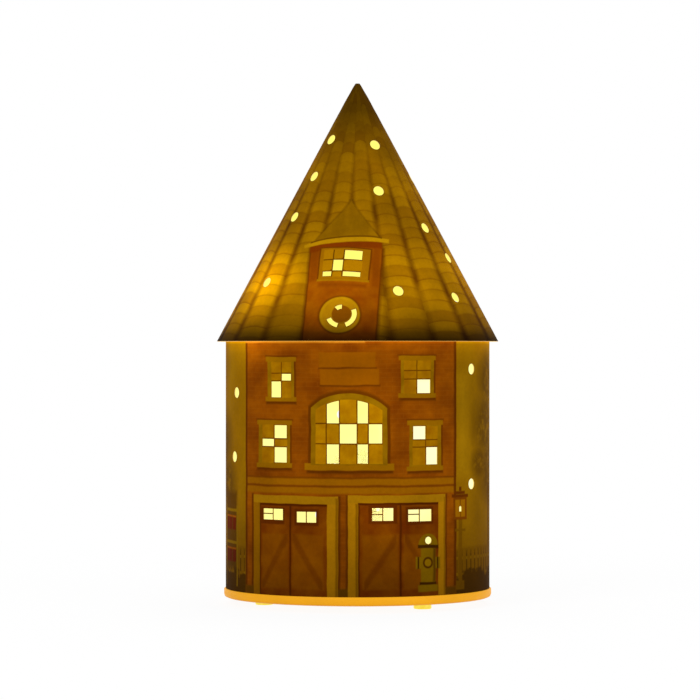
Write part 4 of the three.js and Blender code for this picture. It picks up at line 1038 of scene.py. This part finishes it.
def skin(name, rows, closed=False):
    """Quads over rows of points whose columns form a ring. Rows of no width become one point, and a closed
    profile joins its last row to its first."""
    index = np.arange(rows.shape[0] * rows.shape[1]).reshape(rows.shape[:2])
    low, high = (index, np.roll(index, -1, axis=0)) if closed else (index[:-1], index[1:])
    quads = np.stack([low, np.roll(low, -1, axis=1), np.roll(high, -1, axis=1), high], -1).reshape(-1, 4)
    mesh = bpy.data.meshes.new(name)
    mesh.from_pydata((rows.reshape(-1, 3) * 0.001).tolist(), [], quads.tolist())
    return finished(name, mesh)


def upright(points):
    """Turned about the lamp's own axis."""
    return points


def inwards(points):
    """Lying at the back: height runs from the inlet's face towards the middle."""
    return np.stack([points[..., 0], INLET_FACE - points[..., 2], INLET_CENTRE + points[..., 1]], -1)


def turned(name, profile, count=72, closed=False, pitch=1.0, lie=upright):
    """A profile of radius, height and, for a thread, its depth, carried round an axis: x = radius by sine,
    y = minus radius by cosine. The thread takes from the radius its depth by half of one less the cosine of
    the height in pitches less the share of the circle."""
    profile = np.asarray(profile, float)
    turn = np.arange(count) * 2 * math.pi / count
    radius, height = profile[:, :1], profile[:, 1:2] + 0 * turn
    if profile.shape[1] == 3:
        radius = radius - profile[:, 2:] * (1 - np.cos(2 * math.pi * height / pitch - turn)) / 2
    return skin(name, lie(np.stack([radius * np.sin(turn), -radius * np.cos(turn), height], -1)), closed)


def threaded(radius, low, high, depth, rows, run_out=1.2):
    """Rows of a threaded stretch: the thread's depth rises from nothing over the run-out at each end."""
    height = np.linspace(low, high, rows)
    fade = np.clip(np.minimum(height - low, high - height) / run_out, 0, 1)
    return np.column_stack([np.full(rows, radius), height, depth * fade])


def plain(profile):
    """A profile without a thread."""
    return np.column_stack([profile, np.zeros(len(profile))])


def bulb_cap():
    """Drawn and rolled cap: a round shoulder, a thread that both faces follow, and a straight collar."""
    turn = np.linspace(0, math.pi / 2, 7)
    wall = CAP_RADIUS - CAP_WALL
    shoulder = np.column_stack([CAP_RADIUS - CAP_SHOULDER * (1 - np.sin(turn)),
                                CAP_SHOULDER * (1 - np.cos(turn))])
    outer = threaded(CAP_RADIUS, CAP_SHOULDER + 0.4, CAP_HEIGHT - 3.2, 0.62, 60)
    inner = threaded(wall, CAP_SHOULDER + 0.4, CAP_HEIGHT - 3.2, 0.62, 60)[::-1]
    collar = eased([(CAP_RADIUS, CAP_HEIGHT - 3), (CAP_RADIUS - 0.25, CAP_HEIGHT - 2.5),
                    (CAP_RADIUS, CAP_HEIGHT - 2), (CAP_RADIUS, CAP_HEIGHT), (wall, CAP_HEIGHT)], 0.12)
    foot = [(wall - CAP_SHOULDER, CAP_WALL), (CAP_MOUTH, CAP_WALL)]
    rows = np.vstack([plain([(CAP_MOUTH, 0)]), plain(shoulder), outer, plain(collar), inner, plain(foot)])
    return turned("bulb_threaded_cap", rows + (0, CAP_BASE, 0), closed=True, pitch=THREAD_PITCH)


def holder_shell():
    """Stamped brass shell: a shallow thread that both faces follow."""
    low = DECK_TOP + CHAMBER_HEIGHT
    outer = threaded(SHELL_OUTSIDE, low, low + SHELL_HEIGHT, 0.22, 70)
    inner = threaded(SHELL_OUTSIDE - SHELL_WALL, low, low + SHELL_HEIGHT, 0.22, 70)[::-1]
    return turned("holder_threaded_shell", np.vstack([outer, inner]), closed=True, pitch=THREAD_PITCH)


def globe_profile(globe, neck):
    """Profile of the bulb's glass: a straight neck, a quadratic curve up the shoulder that keeps the slope of
    both its neighbours, and a circle from there to the top."""
    centre, turn = CAP_HEIGHT + GLOBE_LIFT, math.radians(38)
    meet = np.array([globe * math.sin(turn), centre - globe * math.cos(turn)])
    bend = np.array([neck, meet[1] - (meet[0] - neck) * math.tan(turn)])
    flank = bowed(np.array([neck, CAP_HEIGHT]), bend, meet, np.linspace(0, 1, 13)[:, None])
    turn = np.linspace(turn, math.pi, 41)[1:]
    crown = np.column_stack([globe * np.sin(turn), centre - globe * np.cos(turn)])
    return np.vstack([[(neck, CAP_HEIGHT - NECK_DEPTH)], flank, crown]) + (0, CAP_BASE)


def bulb_glass():
    """Blown glass: the outer profile and the same one glass thickness inside it, joined at the neck."""
    neck = CAP_RADIUS - CAP_WALL - FIT
    inner = globe_profile(GLOBE_RADIUS - GLASS, neck - GLASS)
    return turned("bulb_globe", np.vstack([inner[::-1], globe_profile(GLOBE_RADIUS, neck)]), count=96)


def bulb_stem():
    """Pressed glass stem: a flare that is sealed to the neck, drawn up to a pinched top."""
    flare = CAP_RADIUS - CAP_WALL - GLASS - 2 * FIT
    low, top = CAP_HEIGHT - NECK_DEPTH, CAP_HEIGHT + STEM_HEIGHT
    return turned("bulb_glass_stem", eased([
        (0, low), (flare, low), (flare, low + 1), (STEM_RADIUS + 1, low + 4), (STEM_RADIUS, low + 7),
        (STEM_RADIUS, top - 3), (STEM_RADIUS / 2, top), (0, top)], 1.2, steps=5) + (0, CAP_BASE), count=48)


def jack_barrel():
    """Moulded socket: a flange outside the wall and a fine-threaded barrel that the nut runs on."""
    mouth = eased([(0, JACK_DEPTH), (JACK_BORE, JACK_DEPTH), (JACK_BORE, -JACK_FLANGE_OUT),
                   (JACK_FLANGE, -JACK_FLANGE_OUT), (JACK_FLANGE, -FIT), (BARREL_RADIUS, -FIT)], 0.35)
    tail = eased([(BARREL_RADIUS, BARREL_LENGTH - 0.6), (BARREL_RADIUS - 0.4, BARREL_LENGTH),
                  (0, BARREL_LENGTH)], 0.2)
    thread = threaded(BARREL_RADIUS, 0, BARREL_LENGTH - 0.8, 0.24, 110, 0.5)
    rows = np.vstack([plain(mouth), thread, plain(tail)])
    return turned("jack_socket", rows, count=48, pitch=0.75, lie=inwards)


def flow(corners, per_side=10):
    """A smooth line through corners: between each two a cubic curve, whose slope at a corner weighs the sides
    next to it by the root of their length."""
    p = np.array(corners, float)
    p = np.vstack([2 * p[0] - p[1], p, 2 * p[-1] - p[-2]])
    gap = np.sqrt(np.linalg.norm(np.diff(p, axis=0), axis=1))[:, None]
    a, b, c, d = p[:-3], p[1:-2], p[2:-1], p[3:]
    before, here, after = gap[:-2], gap[1:-1], gap[2:]
    slope_b = ((b - a) / before - (c - a) / (before + here) + (c - b) / here) * here
    slope_c = ((c - b) / here - (d - b) / (here + after) + (d - c) / after) * here
    t = (np.arange(per_side) / per_side)[None, :, None]
    b, c, slope_b, slope_c = (v[:, None] for v in (b, c, slope_b, slope_c))
    line = ((2 * t ** 3 - 3 * t ** 2 + 1) * b + (t ** 3 - 2 * t ** 2 + t) * slope_b
            + (3 * t ** 2 - 2 * t ** 3) * c + (t ** 3 - t ** 2) * slope_c)
    return np.vstack([line.reshape(-1, 3), p[-2]])


def drawn(name, line, radius, count=16):
    """A round section along a line: each ring stands square to the line, on one axis that is level and one
    that is square to both. The radius may change along the line."""
    ahead = np.gradient(line, axis=0)
    ahead /= np.linalg.norm(ahead, axis=1)[:, None]
    level = np.cross(ahead, (0, 0, 1))
    level /= np.linalg.norm(level, axis=1)[:, None]
    other = np.cross(level, ahead)
    turn = np.arange(count) * 2 * math.pi / count
    radius = np.broadcast_to(radius, len(line))[:, None, None]
    cos, sin = np.cos(turn)[None, :, None], np.sin(turn)[None, :, None]
    rows = line[:, None] + radius * (level[:, None] * cos + other[:, None] * sin)
    rows = np.concatenate([np.repeat(line[:1, None], count, 1), rows, np.repeat(line[-1:, None], count, 1)])
    return skin(name, rows)


def light_stick(index):
    """A stick with round ends: near an end the radius is the root of its square less that of the way in."""
    turn = index * math.pi / 2
    low, top = (np.array([r * math.sin(turn), -r * math.cos(turn), h]) for r, h in (
        (STICK_LOW_CIRCLE, STICK_LOW), (STICK_TOP_CIRCLE, STICK_LOW + STICK_RISE)))
    length = np.linalg.norm(top - low)
    way = np.concatenate([STICK_RADIUS * (1 - np.cos(np.linspace(0, math.pi / 2, 7))),
                          np.linspace(STICK_RADIUS, length - STICK_RADIUS, 12)[1:-1],
                          length - STICK_RADIUS * (1 - np.cos(np.linspace(math.pi / 2, 0, 7)))])
    inside = np.clip(np.abs(way - length / 2) - (length / 2 - STICK_RADIUS), 0, STICK_RADIUS)
    radius = np.sqrt(np.maximum(STICK_RADIUS ** 2 - inside ** 2, 0))
    return drawn(f"light_stick_{index + 1}", low + (top - low) * way[:, None] / length, radius, 20)


def smooth_copy(name, node, edge=0.0):
    """The CAD solid with its loose triangles merged and its flat faces whole, its edges eased by a bevel."""
    mesh = frame["nodes"][node].data.copy()
    work = bmesh.new()
    work.from_mesh(mesh)
    bmesh.ops.remove_doubles(work, verts=work.verts, dist=1e-6)
    bmesh.ops.dissolve_limit(work, angle_limit=0.005, verts=work.verts, edges=work.edges)
    work.to_mesh(mesh)
    work.free()
    mesh.materials.clear()
    piece = finished(name, mesh)
    if edge:
        bevel = piece.modifiers.new("eased_edges", "BEVEL")
        bevel.width = edge * 0.001
        bevel.segments = 2
        bevel.limit_method = "ANGLE"
        bevel.angle_limit = SHARP_ANGLE
        bevel.harden_normals = True
    return piece


def stands_for(piece, node):
    """The piece takes a CAD node's place and body, and its finish too where it has none of its own."""
    record = frame["record"]
    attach(piece, next(body for body, nodes in record["behaviour"]["bodies"].items() if node in nodes))
    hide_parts(node)
    slot = next(entry["material_slot"] for entry in record["subparts"] if entry["node"] == node)
    if not piece.data.materials:
        piece.data.materials.append(FINISHES[slot])


studio()
edge = cut_edge()
wall_faces = (printed_wall(), bare_film("bare_wall_film", "#ffff96", "#ffffe4"), edge)
roof_faces = (printed_roof(), bare_film("bare_roof_film", "#fff97a", "#fffb96"), edge)
stands_for(rolled_sheet("wall_film", wall_outlines(), roll_wall, wall_faces), "drum_sheet")
stands_for(rolled_sheet("roof_film", roof_outlines(), roll_roof, roof_faces), "roof_cone")
for node in ("base_plate", "roof_ring"):
    stands_for(smooth_copy(node + "_moulding", node), node)
for number in range(3):
    node = f"foot_{number + 1}"
    (ax, ay, _), (bx, by, _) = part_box(node)
    dome = eased([(0, 0), (4.7, 0), (5, 0.4), (5, 4.5), (0, 4.5)], 0.3)
    stands_for(turned(f"bumper_{number + 1}", dome, count=48,
                      lie=lambda points: points + ((ax + bx) * 500, (ay + by) * 500, 0)), node)
stands_for(smooth_copy("holder_body", "lampholder_body", 0.35), "lampholder_body")
stands_for(holder_shell(), "lampholder_shell")
stands_for(bulb_cap(), "bulb_cap")
stands_for(bulb_glass(), "bulb_glass")
stands_for(bulb_stem(), "bulb_stem")
stands_for(turned("bulb_seal", eased([
    (0, -INSULATOR_DROP), (TIP_CONTACT_RADIUS + FIT, -INSULATOR_DROP), (CAP_MOUTH - FIT, 0),
    (CAP_MOUTH - FIT, CAP_SHOULDER), (0, CAP_SHOULDER)], 0.3) + (0, CAP_BASE), count=48), "bulb_insulator")
stands_for(turned("bulb_contact", eased([
    (0, -1.8), (TIP_CONTACT_RADIUS / 2, -1.8), (TIP_CONTACT_RADIUS, -1.3), (TIP_CONTACT_RADIUS, -0.8),
    (0, -0.8)], 0.3) + (0, CAP_BASE), count=32), "bulb_tip")
for number in range(4):
    stands_for(light_stick(number), f"filament_{number + 1}")
stands_for(jack_barrel(), "inlet_socket")
stands_for(turned("jack_pin", eased([
    (0, 0), (JACK_PIN, 0), (JACK_PIN, JACK_DEPTH - FIT), (0, JACK_DEPTH - FIT)], 0.6, steps=5), count=24,
    lie=inwards), "inlet_pin")
short_route = [(0, 52.4, 16.3), (0, 49.4, 16.3), (0, 43.4, 12), (0, 36.35, 10.5), (0, 28.3, 12),
               (0, 24.3, 15.9), (0, 20.3, 17.4)]
loop = [(34 * math.sin(a), -34 * math.cos(a), 10.5) for a in np.radians((148, 118, 88, 58, 28))]
long_route = [(0, 52.4, 20.7), (0, 49.4, 20.7), (6, 41.4, 14.5), *loop, (3, -32.3, 12), (0, -27.3, 14.9),
              (0, -23.3, 17.4), (0, -20.3, 17.4)]
stands_for(drawn("lead_red", flow(short_route), LEAD_RADIUS), "lead_1")
stands_for(drawn("lead_black", flow(long_route), LEAD_RADIUS), "lead_2")
for name, node, width in (
        ("tongue", "centre_contact", 0.12), ("side_strip", "shell_contact", 0.12),
        ("body_screw_1", "mounting_screw_1", 0.15), ("body_screw_2", "mounting_screw_2", 0.15),
        ("wire_screw_1", "terminal_screw_1", 0.15), ("wire_screw_2", "terminal_screw_2", 0.15),
        ("jack_nut", "inlet_nut", 0.25), ("jack_tag_1", "inlet_tag_1", 0.12),
        ("jack_tag_2", "inlet_tag_2", 0.12),
        ("low_wires", "lead_in_wires", 0.0), ("top_wires", "anchor_wires", 0.0)):
    stands_for(smooth_copy(name, node, width), node)
